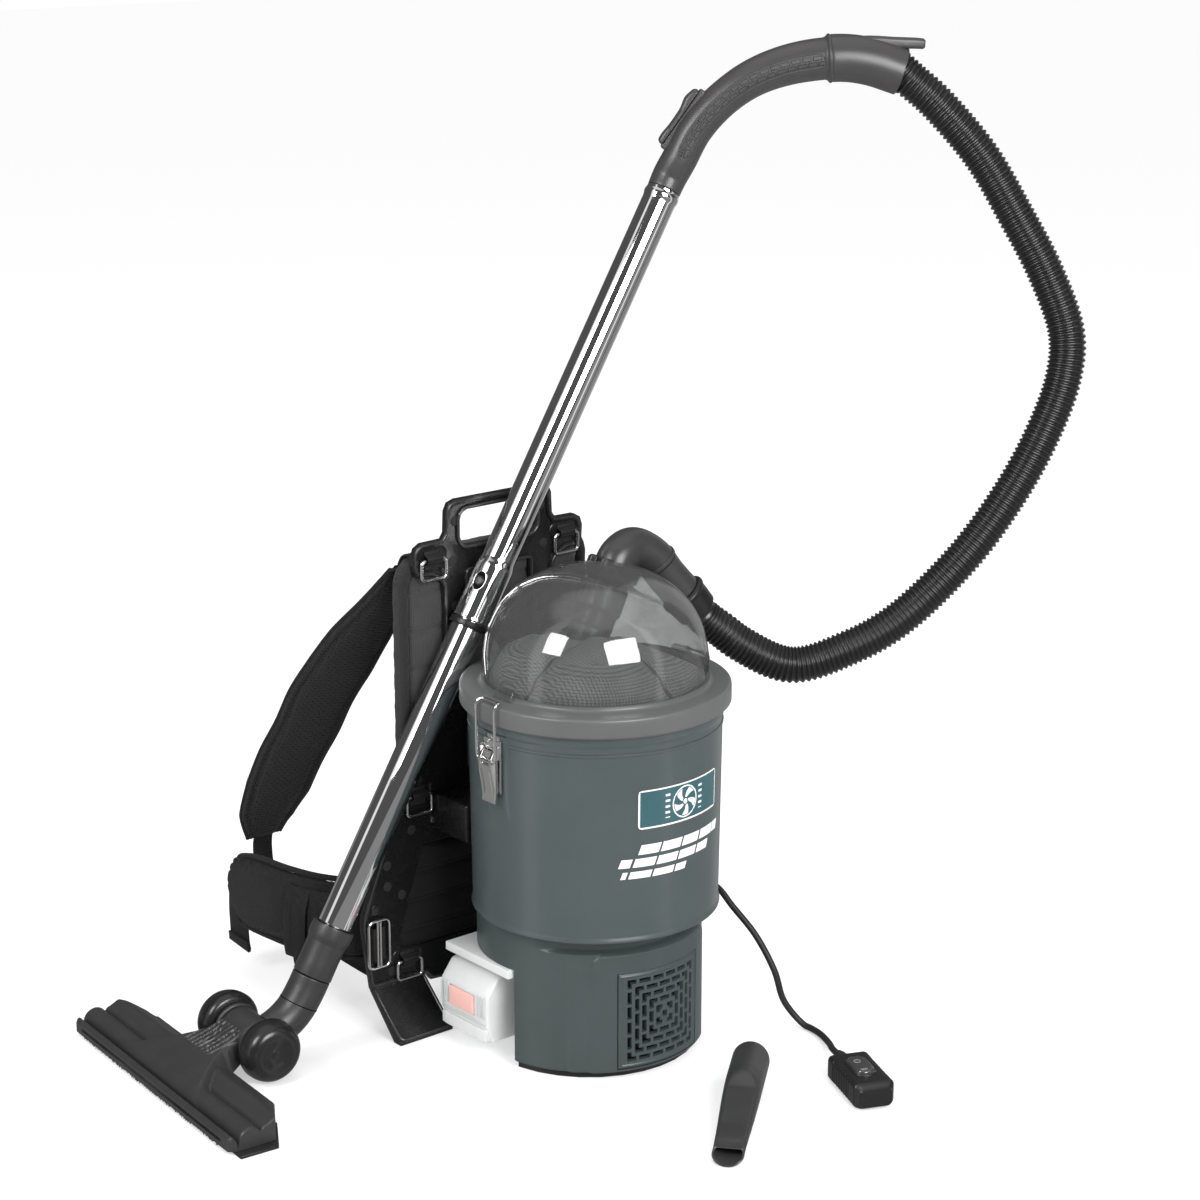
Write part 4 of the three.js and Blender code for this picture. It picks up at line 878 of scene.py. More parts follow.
# lugs that the wire bails hook over
for s, n in ((-1, "L"), (1, "R")):
    x0, x1 = (113.2, 117.4)
    rg = []
    for zt, w in ((388.4, 14), (392, 14), (398, 12.5), (400.5, 10)):
        xo = 119.4 if zt < 393 else 117.2
        rg.append(np.array([(s * 113, -w, zt), (s * xo, -w, zt), (s * xo, w, zt), (s * 113, w, zt)], float))
    shell_loft("lid_lug_" + n, rg, [M["clear"]], "lid", (), 0.8)
# inlet stub through the facet
mp = frame_z(PORT, PU)
lathe_at("inlet_stub", [(19.5, -14), (21.6, -14), (22, -10), (22, 38.5), (26, 38.5), (26, 41), (22, 41), (22, 46), (19.5, 46)], mp, [M["dark"]], "lid", ("inlet_tube",), 72, True, 0.5, 2)
lathe_at("inlet_drop", [(19.4, -13.5), (21.4, -13.5), (21.0, -33), (19.0, -33)], mp, [M["elbow"]], "lid", (), 72, True, 0.5, 2)
lathe_at("inlet_boss", [(22.1, 36.6), (30.5, 36.6), (31.2, 38.4), (29.6, 39.6), (22.1, 39.8)], mp, [M["clear"]], "lid", (), 72, True, 0.4, 2)
lathe_at("inlet_sleeve", [(22.1, 33), (23.6, 33), (24.4, 8), (23.4, 4), (22.1, 4)], mp, [M["elbow"]], "lid", (), 72, True, 0.5, 2)

# ------------------------------------------------------------------ toggle latches
for s, n in ((-1, "L"), (1, "R")):
    refine("latch_base_" + n, M["steel"], 0.35)
    refine("latch_lever_" + n, M["steel"], 0.6, 3)
    fx = lambda P: np.array([(s * p[0], p[1], p[2]) for p in P], float)
    y = 14.4
    p = [(140, -11, 332), (140, -y + 1, 333), (140, -y, 337), (140.6, -y, 384), (139, -y, 390.6), (135, -y + 0.5, 391.9), (133, -y + 4, 391.9)]
    q = [(a, -b, c) for a, b, c in p[::-1]]
    P = fx([tuple(r) for r in rounded(p + q, 3.0, 4)])
    sv, sf = sweep(P, circ(1.5, 12))
    make("bail_wire_" + n, sv, sf if s > 0 else sf, [M["wire"]], "bail_" + n, ("latch_bail_" + n,), 50)
    # pivot pins and the curled barrel of each lever
    for nm, x, z, hw, r, bd in (("pin", 136, 340, 12.4, 1.6, "lever_" + n), ("barrel", 140, 332, 10.4, 2.2, "lever_" + n)):
        sv, sf = sweep(np.array([(s * x, -hw, z), (s * x, -hw * 0.3, z), (s * x, hw * 0.3, z), (s * x, hw, z)], float), circ(r, 16), up=(0, 0, 1))
        make("latch_%s_%s" % (nm, n), sv, sf, [M["steel"]], bd, (), 50)
    for nm, yy in (("a", -7.4), ("b", 7.4)):
        sv, sf = sweep(fx([(137.2, yy, 330), (141.9, yy, 322), (138.9, yy, 306), (137.7, yy, 296)]), rrect(2.2, 1.6, 0.5, 2), up=(0, 1, 0))
        make("lever_rib_%s_%s" % (n, nm), sv, sf, [M["steel"]], "lever_" + n, (), 50)

# ------------------------------------------------------------------ elbow and cuff
epts = [PORT + 48 * PU, V(69, 45.5, 493.5), V(89.2, 47.5, 499.5), V(110.9, 42.7, 487.6), V(126.8, 37.2, 465.7), V(142, 31.5, 446.5)]
ep9 = catmull(epts, 9)
cdir = unit(ep9[-1] - ep9[-2]); cat = V(142, 31.5, 446.5) + 0.4 * cdir


def tube(name, P, ro, ri, mats, body, rep=(), seg=56, up=(0, 1, 0), angle=40, lip=0.8):
    """A tube along P; ro and ri are radii, or arrays per point."""
    n = len(P); ro = np.broadcast_to(np.asarray(ro, float), n); ri = np.broadcast_to(np.asarray(ri, float), n)
    T, A, B = frames(P, up)
    a = np.arange(seg) * 2 * PI / seg
    ringp = lambda i, r, off=0.0: P[i] + T[i] * off + r * (np.outer(np.cos(a), A[i]) + np.outer(np.sin(a), B[i]))
    rings = [ringp(0, ri[0]), ringp(0, ro[0] - lip), ringp(0, ro[0] - lip * 0.3, lip * 0.3), ringp(0, ro[0], lip)]
    rings += [ringp(i, ro[i]) for i in range(1, n - 1)]
    rings += [ringp(n - 1, ro[-1], -lip), ringp(n - 1, ro[-1] - lip * 0.3, -lip * 0.3), ringp(n - 1, ro[-1] - lip), ringp(n - 1, ri[-1])]
    rings += [ringp(i, ri[i]) for i in range(n - 2, 0, -1)]
    v = np.concatenate(rings)
    return make(name, v, grid(len(rings), seg, True, True), mats, body, rep, angle)


Pe, _ = resample(catmull(epts, 90), 2.0)
tube("elbow_pipe", Pe, 21.0, 17.5, [M["elbow"]], "elbow", ("elbow",))
# castellated collar
refine("elbow_collar", M["dark"], 0.5)
for i in range(18):
    a = 2 * PI * i / 18
    d = np.array([math.cos(a), math.sin(a), 0]) * 27.4
    m = frame_z(xf(np.array([[d[0], d[1], 43.5]]), mp)[0], PU, mp[:3, :3] @ np.array([math.cos(a), math.sin(a), 0]))
    rg = [np.array([(-0.8, -1.8, z_), (0.9, -1.4, z_), (0.9, 1.4, z_), (-0.8, 1.8, z_)], float) for z_ in (0, 12)]
    shell_loft("collar_rib_%02d" % i, [xf(r, m) for r in rg], [M["dark"]], "elbow", (), 0.4)
mc = frame_z(cat, cdir)
lathe_at("hose_cuff_sleeve", [(17.5, 0), (22.6, 0), (23.5, 1.2), (25, 2.5), (25, 5), (23.5, 7), (23.0, 16), (22, 27.4), (21, 28), (17.5, 28)], mc, [M["dark"]], "elbow", ("hose_cuff",), 64, True, 0.8, 3)
mring = frame_z(Pe[int(len(Pe) * 0.62)], Pe[int(len(Pe) * 0.62) + 1] - Pe[int(len(Pe) * 0.62)])
lathe_at("elbow_band", [(20.6, -2), (22.3, -2), (22.3, 2), (20.6, 2)], mring, [M["elbow"]], "elbow", (), 64, True, 0.6, 3)
# the groove is painted near-black: painted shade
lathe_at("elbow_band_groove", [(20.6, 2.6), (21.25, 2.6), (21.25, 3.4), (20.6, 3.4)], mring, [M["void"]], "elbow", (), 64, True, 0.1, 1)

# ------------------------------------------------------------------ hose: corrugated, bends between elbow and wand
hstart = cat + 29.4 * cdir
hp = [hstart, hstart + 9 * cdir, V(181, 12.5, 403), V(199.4, -0.3, 385.5), V(242.7, -31.3, 361.7), V(294.9, -67.3, 379.7), V(335.8, -95.1, 407.8), V(390.7, -130.7, 471), V(430.9, -154, 533.7), V(462.1, -169.8, 596.1), V(484.5, -178.1, 658), V(490.6, -175.4, 704.2), V(478.8, -155, 765.4), V(458.4, -127.5, 826.3), V(435, -97.4, 886.8), V(400.3, -61.8, 942.2), V(384, -45.6, 961.4), V(379.6, -41.9, 966.4)]
Ph = catmull(hp, 500)
Ph = np.vstack([Ph, Ph[-1] + unit(Ph[-1] - Ph[-4]) * np.array([[4.0], [9.0], [14.0]])])
Ph, sh = resample(Ph, 0.65)
for _ in range(60):
    Ph[1:-1] = 0.5 * Ph[1:-1] + 0.25 * (Ph[:-2] + Ph[2:])
pitch = 5.4
w = 0.5 + 0.5 * np.cos(2 * PI * sh / pitch)
w = w ** 0.75
rad_h = 17.0 + 2.6 * w
rad_h[sh < 6] = 17.4 + 0.6 * w[sh < 6]
v, F = sweep(Ph, lambda i: circ(rad_h[i], 30))
F = F[:-2]
n0 = len(v)
hose = make("hose_corrugated", v, F, [M["hose"]], None, ("hose",), None)
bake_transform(hose)

# ------------------------------------------------------------------ wand
WA, WD = V(-78, 135.5, 388), unit(V(0.4916, -0.0487, 0.8694))
mw = frame_z(WA, WD, (0, 1, 0))
ti = 15.9
lathe_at("wand_tube_upper", [(17.9, 47), (20.3, 48), (19.7, 51), (19.7, 108.5), (17.5, 115.5), (17.5, 521), (18.5, 524), (18.5, 527.5), (17.5, 530), (17.5, 532.6), (ti, 532.6), (ti, 116), (17.9, 109)], mw, [M["chrome"]], "wand", ("wand_upper",), 96, True, [0.3, 0.8, 0.8, 4, 4, 2, 1.5, 1.5, 1, 0.3, 0.3, 1, 1], 5, 30)
lathe_at("wand_tube_lower", [(ti, -293.3), (17.5, -293.3), (17.5, 107), (ti, 107)], mw, [M["chrome"]], "wand", ("wand_lower",), 96, True, 0.4, 2)
lathe_at("wand_lock_ring", [(17.9, 39.6), (20.3, 39.6), (20.7, 41), (20.7, 45.4), (19.9, 46.6), (17.9, 46.6)], mw, [M["dark"]], "wand", ("wand_ring",), 72, True, 0.8, 3)
bd = V(-1, -0.35, 0); bd = unit(bd - WD * (bd @ WD))
mb = frame_z(WA + 88 * WD, bd, WD)
lathe_at("wand_button_cap", [(0.01, 12), (5.2, 12), (5.2, 20.4), (4, 21.4), (0.01, 21.6)], mb, [M["dark"]], "button", ("wand_button",), 32, False, 0.6, 3)
# oval lock window round the button
oval = [(1.0 * math.cos(a) * 10.5, math.sin(a) * 6.6) for a in np.arange(40) * 2 * PI / 40]
P = []
for a_, b_ in oval:
    th_ = b_ / 19.7
    P.append(xf(np.array([[a_, 19.8 * math.sin(th_), 19.8 * math.cos(th_)]]), mb)[0])
loop_wire("wand_lock_window", P, 0.9, [M["chrome"]], "wand", (), 10)
# a near-black sheet fills the oval slot round the button: painted shade in the opening
P2, F2 = [], []
for fr_ in (1.0, 0.66, 0.33, 0.02):
    for a_, b_ in oval:
        th_ = b_ * fr_ / 19.7
        P2.append(xf(np.array([[a_ * fr_, 19.95 * math.sin(th_), 19.95 * math.cos(th_)]]), mb)[0])
make("wand_lock_slot", P2, grid(4, 40, False, True), [M["void"]], "wand", (), None)

# ------------------------------------------------------------------ grip handle
gpts = [WA + 533 * WD, WA + 548.6 * WD, V(197.5, 101.6, 881.8), V(210.5, 92.1, 912.2), V(230.5, 77, 940.4), V(256.5, 56.5, 964), V(288, 32, 978.5), V(326, 1.6, 984.5), V(350, -17.5, 981), V(376, -38.8, 970.4)]
grad = [17.6, 18.2, 18.6, 19, 19, 19.5, 21, 24, 24.8, 24]
Pg0 = catmull(gpts, 180)
par = np.interp(np.arange(181) / 20.0, range(10), grad)
Pg, sg, rg_ = resample(Pg0, 1.6, par)
# the socket is stepped out from the grip
d_break = np.argmin(np.linalg.norm(Pg - V(318, 8, 984), axis=1))
idx = np.arange(len(Pg))
rg_ = np.where(idx < d_break, np.minimum(rg_, 18.4 + 3.0 * smoothstep(0.45, 1.0, idx / d_break)), 24.2)
rg_ = np.convolve(np.pad(rg_, 2, mode="edge"), np.ones(5) / 5, "valid")
tube("grip_shell", Pg, rg_, rg_ - 3, [M["grip"]], "wand", ("grip_handle",), 64, (0.643, 0.766, 0), 40, 1.0)
Tg, Ag, Bg = frames(Pg, (0.643, 0.766, 0))
# the hook that stands out over the hose
hk = catmull([V(322, 3, 996), V(346, -14.5, 1000.6), V(371, -34.5, 999.6), V(388, -48, 999.0), V(394, -53, 998.4)], 40)
sv, sf = sweep(hk, lambda i: rrect(8.6 - (3.0 if i > 38 else 0), (11 + 3 * math.sin(PI * i / 40)), 2.4, 5), up=(0.643, 0.766, 0))
sv, sf = sweep(hk, lambda i: rrect(13.0 - (3.0 if i > 38 else 0) + 2.0 * (i / 40), 12.5 - 2.5 * (i / 40) - (2.0 if i > 38 else 0), 3.2, 5), up=(0, 0, 1))
make("grip_hook", sv, sf, [M["grip"]], "wand", (), 40)
# brick-pattern inset on each side
view_side = -1.0
for side, nm in ((-1.0, "front"), (1.0, "back")):
    i0, i1 = np.argmin(np.linalg.norm(Pg - V(199, 100, 886), axis=1)), d_break - 3
    ni, nj = (i1 - i0) * 3, 30
    si = np.linspace(i0, i1, ni)
    vs = []; ms = np.zeros((ni, nj))
    half_w = 7.6
    length = (i1 - i0) * 1.6
    for a_i, sx in enumerate(si):
        i = int(sx); w_ = sx - i; j = min(i + 1, len(Pg) - 1)
        c = Pg[i] * (1 - w_) + Pg[j] * w_; r_ = rg_[i] * (1 - w_) + rg_[j] * w_
        Aa = unit(Ag[i] * (1 - w_) + Ag[j] * w_); Bb = unit(Bg[i] * (1 - w_) + Bg[j] * w_)
        l = (sx - i0) * 1.6
        endf = math.sqrt(max(0.0, 1 - max(0.0, (half_w - min(l, length - l)) / half_w) ** 2))
        for b_j in range(nj):
            tt = (b_j / (nj - 1) * 2 - 1)
            wv = tt * half_w * max(endf, 0.02)
            th_ = wv / r_
            dirv = side * Bb * math.cos(th_) + Aa * math.sin(th_)
            row = (1 if wv > 0 else 0)
            cell = 11.0
            pos = (l + (cell / 2 if row else 0)) % cell
            brick = (1.0 < abs(wv) < 4.6) and (1.0 < pos < cell - 1.6)
            frame_r = abs(tt) > 0.88 or min(l, length - l) < 1.0
            h_ = 0.35 + (0.9 if brick else -0.25)
            if frame_r:
                h_ = 0.5
            if abs(tt) > 0.97 or min(l, length - l) < 0.35:
                h_ = -0.3
            vs.append(c + dirv * (r_ + h_))
    make("grip_inset_" + nm, vs, grid(ni, nj, flip=side < 0), [M["gripdark"]], "wand", (), 55)
# shoulder ring where the grip meets the socket
mg = frame_z(Pg[d_break], Tg[d_break])
lathe_at("grip_shoulder", [(20.5, -3.0), (23.0, -2.0), (25.0, 0.0), (25.0, 1.6), (23.5, 2.4), (20.5, 2.4)], mg, [M["grip"]], "wand", (), 72, True, 0.9, 3)
# air bleed slider
a_, b_ = V(197.5, 101.6, 881.8), V(230.5, 77, 940.4)
dd_ = unit(b_ - a_); nn_ = V(-0.659, 0.553, 0.5); nn_ = unit(nn_ - dd_ * (nn_ @ dd_))
ms_ = np.eye(4); ms_[:3, 0], ms_[:3, 1], ms_[:3, 2], ms_[:3, 3] = dd_, -np.cross(nn_, dd_), nn_, (a_ + b_) / 2 + nn_ * 24.4
xs = np.linspace(-33, 33, 45)
hs_ = []
for x_ in xs:
    top = 4.4 + 2.9 * math.exp(-((x_ - 20) / 9.0) ** 2) + 1.1 * math.exp(-((x_ + 24) / 8.0) ** 2)
    e_ = min(1.0, math.sqrt(max(0.0, 1 - max(0.0, (abs(x_) - 28) / 5.2) ** 2)) + 0.12)
    wdt = 8.0 * (0.55 + 0.45 * e_)
    ring_ = [(x_, -wdt, 0.1), (x_, -wdt, top * 0.55 * e_ + 0.3), (x_, -wdt * 0.72, top * 0.92 * e_ + 0.4), (x_, 0, top * e_ + 0.5), (x_, wdt * 0.72, top * 0.92 * e_ + 0.4), (x_, wdt, top * 0.55 * e_ + 0.3), (x_, wdt, 0.1)]
    hs_.append(xf(np.array(ring_, float), ms_))
o = shell_loft("air_slider_cap", hs_, [M["grip"]], "slider", ("air_slider",), 0, 50)
# its seat on the grip
sv, sf = box_vf(-36, 36, -6.5, 6.5, -7.5, -0.6)
o = make("air_slider_seat", xf(sv, ms_), sf, [M["grip"]], "wand", (), 30)
b = o.modifiers.new("soft", "BEVEL"); b.width = 0.002; b.segments = 3

# ------------------------------------------------------------------ floor nozzle
DRUM, NE = V(-316, 171, 32), unit(V(0.09, 0.996, 0))
nf = V(-NE[1], NE[0], 0)
mn = np.eye(4); mn[:3, 0], mn[:3, 1], mn[:3, 2], mn[:3, 3] = nf, -NE, V(0, 0, 1), DRUM
lathe_at("neck_collar_sleeve", [(14, -348.3), (20.5, -348.3), (20.2, -330), (20.4, -312), (22.3, -307), (22.5, -303), (22.5, -294.2), (21.8, -293.8), (17.8, -293.8), (17.8, -300), (14, -300)], mw, [M["nozzle"]], "wand", ("neck_collar",), 72, True, 1.0, 3)
nend = WA + (-349.3) * WD
npts = [nend, WA + (-363.3) * WD, V(-270, 154, 54), V(-284, 155, 43), V(-300, 155, 36)]
Pn, _ = resample(catmull(npts, 60), 1.5)
tube("neck_pipe", Pn, 20.0, 15.0, [M["nozzle"]], "neck", ("neck_elbow",), 64, (0, 1, 0), 45, 0.6)
ci = int(len(Pn) * 0.42)
ms2 = frame_z(Pn[ci], unit(Pn[ci + 1] - Pn[ci]) + V(0.25, 0, 0.15))
lathe_at("neck_seam", [(19.2, -0.5), (20.5, -0.5), (20.5, 0.5), (19.2, 0.5)], ms2, [M["void"]], "neck", (), 64, True, 0.2, 1)
RY = np.array([[1, 0, 0], [0, 0, -1], [0, 1, 0]], float)   # lathe axis to the drum's axis


def on_axle(name, prof, mats, body, rep=(), sgn=1, r=0.8, closed=True, seg=80, n=3):
    p = rounded(prof, r, n, closed)
    v, F = lathe(p, seg, closed)
    v = v @ (np.array([[1, 0, 0], [0, 0, 1 * sgn], [0, 1, 0]], float)).T
    return make(name, xf(v, mn), F if sgn < 0 else flip(F), mats, body, rep, 35)


on_axle("neck_barrel", [(0.5, -21.5), (21.4, -21.5), (23, -20), (23, 20), (21.4, 21.5), (0.5, 21.5)], [M["nozzle"]], "neck", (), 1, 1.0, False)
for nme, sg_ in (("front", 1), ("rear", -1)):
    wp = [(5.4, 31), (22, 31), (29, 33), (31.8, 38), (32, 44), (31.6, 49), (29.5, 55.5), (25.5, 60), (19.5, 62), (14, 60.8), (9, 59), (5.4, 58.6)]
    on_axle("wheel_%s_drum" % nme, wp, [M["wheel"]], "wheel_" + nme, ("wheel_" + nme,), sg_, [0, 2, 3, 3, 3, 4, 4, 4, 3, 3, 2, 0], True, 96, 4)
    on_axle("wheel_%s_hub" % nme, [(0.05, 57.6), (5.6, 57.6), (5.6, 58.7), (2.2, 59.1), (0.05, 58.5)], [M["wheel"]], "wheel_" + nme, (), sg_, 0.3, False, 48)
    on_axle("wheel_%s_line" % nme, [(31.5, 40.6), (32.05, 40.6), (32.05, 41.3), (31.5, 41.3)], [M["void"]], "wheel_" + nme, (), sg_, 0.05, True, 96, 1)
    on_axle("yoke_%s" % nme, [(8.6, 22.6), (24.0, 22.6), (25.4, 23.6), (25.4, 26.4), (24.0, 27.4), (8.6, 27.4)], [M["nozzle"]], "nozzle", (), sg_, 1.4, True, 80)

# body: one height field over the bar and the neck, x forward from the drum, y along the bar
def noz_top(x, y):
    """Height of the nozzle body's upper face above the axle, x forward from the axle."""
    ay = np.abs(y)
    rear = -12.5 + 7.2 * np.exp(-((x - 60) / 11.5) ** 2) - 3.0 * smoothstep(48, 41, x)
    frontr = -21.5 + 13.0 * np.sqrt(np.clip(1 - ((x - 90) / 12.6) ** 2, 0, 1))
    bar_ = smax(rear * smoothstep(84, 75, x) - 22.5 * (1 - smoothstep(84, 75, x)), frontr, 2.4)
    crest = np.interp(x, [16, 24, 34, 45, 57, 70, 84, 96, 104, 113], [17, 14, 10, 6.5, 3.5, 0.0, -4.5, -11.0, -17.0, -25.0])
    hw = np.interp(x, [16, 30, 45, 57, 70, 84, 96, 104, 113], [27, 30, 35, 42, 53, 66, 78, 86, 92])
    fall = 1 - smoothstep(hw - 9, hw + 17, ay)
    mound = (crest - 1.6 * (ay / 33) ** 2 * smoothstep(50, 26, x)) * fall + (-25.0) * (1 - fall)
    mound = np.where(ay > hw + 17, -30, mound)
    top = smax(bar_, mound, 3.2)
    bumper = -14.5 - 0.22 * np.abs(x - 109.3) ** 2
    return np.where(x > 104.6, np.maximum(bumper, -24.5), top * smoothstep(104.6, 102.2, x) + (-25.2) * (1 - smoothstep(104.6, 102.2, x)))


def bar_half(x):
    return np.interp(x, [39, 41, 63, 104, 110, 113], [126, 128, 171.5, 172, 170, 167.5])


nx, ny = 150, 420
X = np.linspace(39.5, 113, nx)
vv_ = []
Sg = np.linspace(-1, 1, ny)
XX = np.repeat(X[:, None], ny, 1)
YY = Sg[None, :] * bar_half(X)[:, None]
ZT = noz_top(XX, YY)
end_soft = smoothstep(0, 2.0, bar_half(X)[:, None] - np.abs(YY))
ZT = ZT - 1.2 * (1 - end_soft)
rib = np.zeros_like(ZT)
groove_y = (np.arange(8) - 3.5) * 7.0
for gy in groove_y:
    rib = np.maximum(rib, (1 - smoothstep(1.3, 2.1, np.abs(YY - gy))) * (1 - smoothstep(50, 62, XX)))
ZT = ZT - 3.6 * rib * (XX < 66)
topv = np.stack([XX, YY, ZT], -1).reshape(-1, 3)
botv = np.stack([XX, YY, np.full_like(XX, -28.9)], -1).reshape(-1, 3)
nn = nx * ny
F = grid(nx, ny, flip=False)
FB = [(a + nn, d + nn, c + nn, b + nn) for a, b, c, d in F]
W = []
for i in range(nx - 1):
    W.append((i * ny, (i + 1) * ny, nn + (i + 1) * ny, nn + i * ny)); e = ny - 1
    W.append((i * ny + e, nn + i * ny + e, nn + (i + 1) * ny + e, (i + 1) * ny + e))
for j in range(ny - 1):
    W.append((j, nn + j, nn + j + 1, j + 1)); e = (nx - 1) * ny
    W.append((e + j, e + j + 1, nn + e + j + 1, nn + e + j))
o = make("nozzle_bar", xf(np.concatenate([topv, botv]), mn), F + FB + W, [M["nozzle"]], None, (), None)
bm = bmesh.new(); bm.from_mesh(o.data); bmesh.ops.recalc_face_normals(bm, faces=bm.faces); bm.to_mesh(o.data); bm.free()
o.data.polygons.foreach_set("use_smooth", np.ones(len(o.data.polygons), bool)); o.data.set_sharp_from_angle(angle=math.radians(48))
place(o, "nozzle", ("nozzle_body",))
# neck between the drum and the bar
nx2, ny2 = 60, 131
X2 = np.linspace(17.5, 46, nx2)
rings = []
for x_ in X2:
    hb = float(np.interp(x_, [17.5, 27, 32, 46], [27.4, 28.5, 31, 36]))
    ys = np.linspace(-hb, hb, ny2)
    zt = noz_top(np.full(ny2, x_), ys)
    zt = zt - 0.35 * np.maximum(np.abs(ys) - (hb - 5), 0) ** 2
    g_ = np.zeros(ny2)
    for gy in groove_y:
        g_ = np.maximum(g_, 1 - smoothstep(1.3, 2.1, np.abs(ys - gy)))
    fade = 1.0
    start = smoothstep(17.5, 20, x_)
    zt = zt - 3.4 * g_ * fade * start
    zb = float(np.interp(x_, [17.5, 26, 46], [-4, -16, -24]))
    pts = [(x_, -hb - 0.3, zb), (x_, -hb - 0.5, zt[0] - 3)] + [(x_, a, b) for a, b in zip(ys, zt)] + [(x_, hb + 0.5, zt[-1] - 3), (x_, hb + 0.3, zb)]
    rings.append(np.array(pts, float))
o = shell_loft("nozzle_neck", [xf(r, mn) for r in rings], [M["nozzle"]], "nozzle", (), 0, 50)
refine("sole_plate", M["dark"], 0.5)
# bristles: rows of short tufts under the bar
tv, tf = [], []
L_ = 150
for i in range(int(2 * L_ / 4.6)):
    y_ = -L_ + i * 4.6
    lean = RNG.uniform(-0.6, 0.6, 2)
    for k_ in range(5):
        ox, oy = RNG.uniform(-1.0, 1.0, 2)
        base_ = len(tv)
        for (px, py) in ((-0.35, -0.35), (0.35, -0.35), (0.35, 0.35), (-0.35, 0.35)):
            tv.append((111.6 + ox + px, y_ + oy + py, -20.8))
        for (px, py) in ((-0.2, -0.2), (0.2, -0.2), (0.2, 0.2), (-0.2, 0.2)):
            tv.append((111.6 + ox + px + lean[0], y_ + oy + py + lean[1], -31.2))
        tf += [(base_ + a, base_ + (a + 1) % 4, base_ + 4 + (a + 1) % 4, base_ + 4 + a) for a in range(4)] + [(base_ + 7, base_ + 6, base_ + 5, base_ + 4)]
make("brush_tufts", xf(np.array(tv), mn), tf, [M["bristle"]], "nozzle", ("brush_strip",), 60)
sv, sf = box_vf(108.4, 113.0, -L_ - 4, L_ + 4, -24.2, -20.6)
make("brush_holder", xf(sv, mn), sf, [M["dark"]], "nozzle", (), 30)
for i, y_ in enumerate((166, -166)):
    m = mn @ np.array([[1, 0, 0, 92], [0, 0, 1 if y_ > 0 else -1, y_], [0, -1 if y_ > 0 else 1, 0, -20.5], [0, 0, 0, 1]], float)
    lathe_at("bar_pin_%d" % i, [(0.05, 0), (2.6, 0), (2.6, 5.2), (0.05, 5.6)], m, [M["steel"]], "nozzle", (), 24, False, 0.4, 2)
    # the well round each pin is painted near-black: painted shade
    lathe_at("bar_pin_well_%d" % i, [(2.9, 4.6), (6.2, 4.6), (6.2, 5.6), (2.9, 5.6)], m, [M["void"]], "nozzle", (), 24, True, 0.1, 1)

# ------------------------------------------------------------------ harness plate
refine("harness_plate", M["plate"], 0.9, 3, 28, 0.01, 40)
refine("frame_bracket", M["plate"], 3.0, 4, 28, 0.01, 40)


def disc(name, x, z, y0, r, th, mat, body=UNIT, seg=36, sgn=-1):
    m = np.eye(4); m[:3, 0], m[:3, 1], m[:3, 2], m[:3, 3] = V(1, 0, 0), V(0, 0, -sgn), V(0, sgn, 0), V(x, y0, z)
    return lathe_at(name, [(0.05, 0), (r, 0), (r, th * 0.6), (r - 0.3, th), (0.05, th)], m, [mat], body, (), seg, False, 0.25, 2)


half_ = [(56, 553), (65, 550), (69, 542), (70, 520), (74, 514), (100, 513.5), (108, 509), (111, 500), (110, 485), (104, 478), (88, 477), (76, 470), (72, 462), (72, 404), (76, 388), (183, 130), (184, 116), (174, 47), (104, 47), (98, 38), (60, 35)]


def rim_loop(name, pts, inset, rad, y=155.3):
    """A rolled rim along a closed outline in the plate's plane, inset towards the outline's middle side."""
    q = np.array(pts, float)
    ar = 0.5 * np.sum(q[:, 0] * np.roll(q[:, 1], -1) - np.roll(q[:, 0], -1) * q[:, 1])
    if ar < 0:
        q = q[::-1]
    a_, b_ = np.roll(q, 1, 0), np.roll(q, -1, 0)
    n1, n2 = q - a_, b_ - q
    n1 = np.stack([-n1[:, 1], n1[:, 0]], 1); n2 = np.stack([-n2[:, 1], n2[:, 0]], 1)
    n1 /= np.linalg.norm(n1, axis=1)[:, None]; n2 /= np.linalg.norm(n2, axis=1)[:, None]
    m_ = n1 + n2; m_ /= np.linalg.norm(m_, axis=1)[:, None]
    q = q + m_ * (inset / np.maximum(0.5, (m_ * n1).sum(1)))[:, None]
    q = rounded([tuple(r) for r in q], rad, 5, True)
    # drawn in the lighter rim material: painted highlight along the rim
    loop_wire(name, np.array([(p_[0], y, p_[1]) for p_ in q]), 1.9, [M["plate_rim_painted_highlight"]], UNIT, ())


rim_loop("plate_rim_outer", half_ + [(-x_, z_) for x_, z_ in half_[::-1]], 2.6, 5.0)
rim_loop("plate_rim_handle", [(a, 521.5 + b) for a, b in rrect(100, 37, 10, 3)], -2.6, 1.0)
rim_loop("plate_rim_window", [(-40, 474), (40, 474), (40, 262), (-40, 262)], -2.6, 5.0)
for s, sd in ((-1, "L"), (1, "R")):
    U_ = [(108.3, 153.0, 46.2), (108.3, 112.0, 8.6), (109.2, 108.6, 5.5), (112.5, 107.4, 4.4), (166.5, 107.4, 4.4), (169.8, 108.6, 5.5), (170.7, 112.0, 8.6), (170.7, 153.0, 46.2)]
    fv_, ff_ = sweep(np.array([(s * a, b, c) for a, b, c in U_]), circ(1.8, 12), up=None)
    # in the lighter rim material: painted highlight along the foot rims
    make("plate_foot_rim_" + sd, fv_, ff_, [M["plate_rim_painted_highlight"]], UNIT, (), 60)

marks = [(-56, 530), (56, 530), (-96, 300), (-108, 262), (96, 300), (-150, 178), (150, 178), (-150, 155), (-146, 60), (146, 60), (-118, 210), (118, 210), (-60, 60), (60, 60), (-132, 142), (-60, 488), (60, 488), (-56, 440), (56, 440)]
for i, (x_, z_) in enumerate(marks):
    disc("plate_mark_%02d" % i, x_, z_, 156.05, 5.2, 0.45, M["mark"])

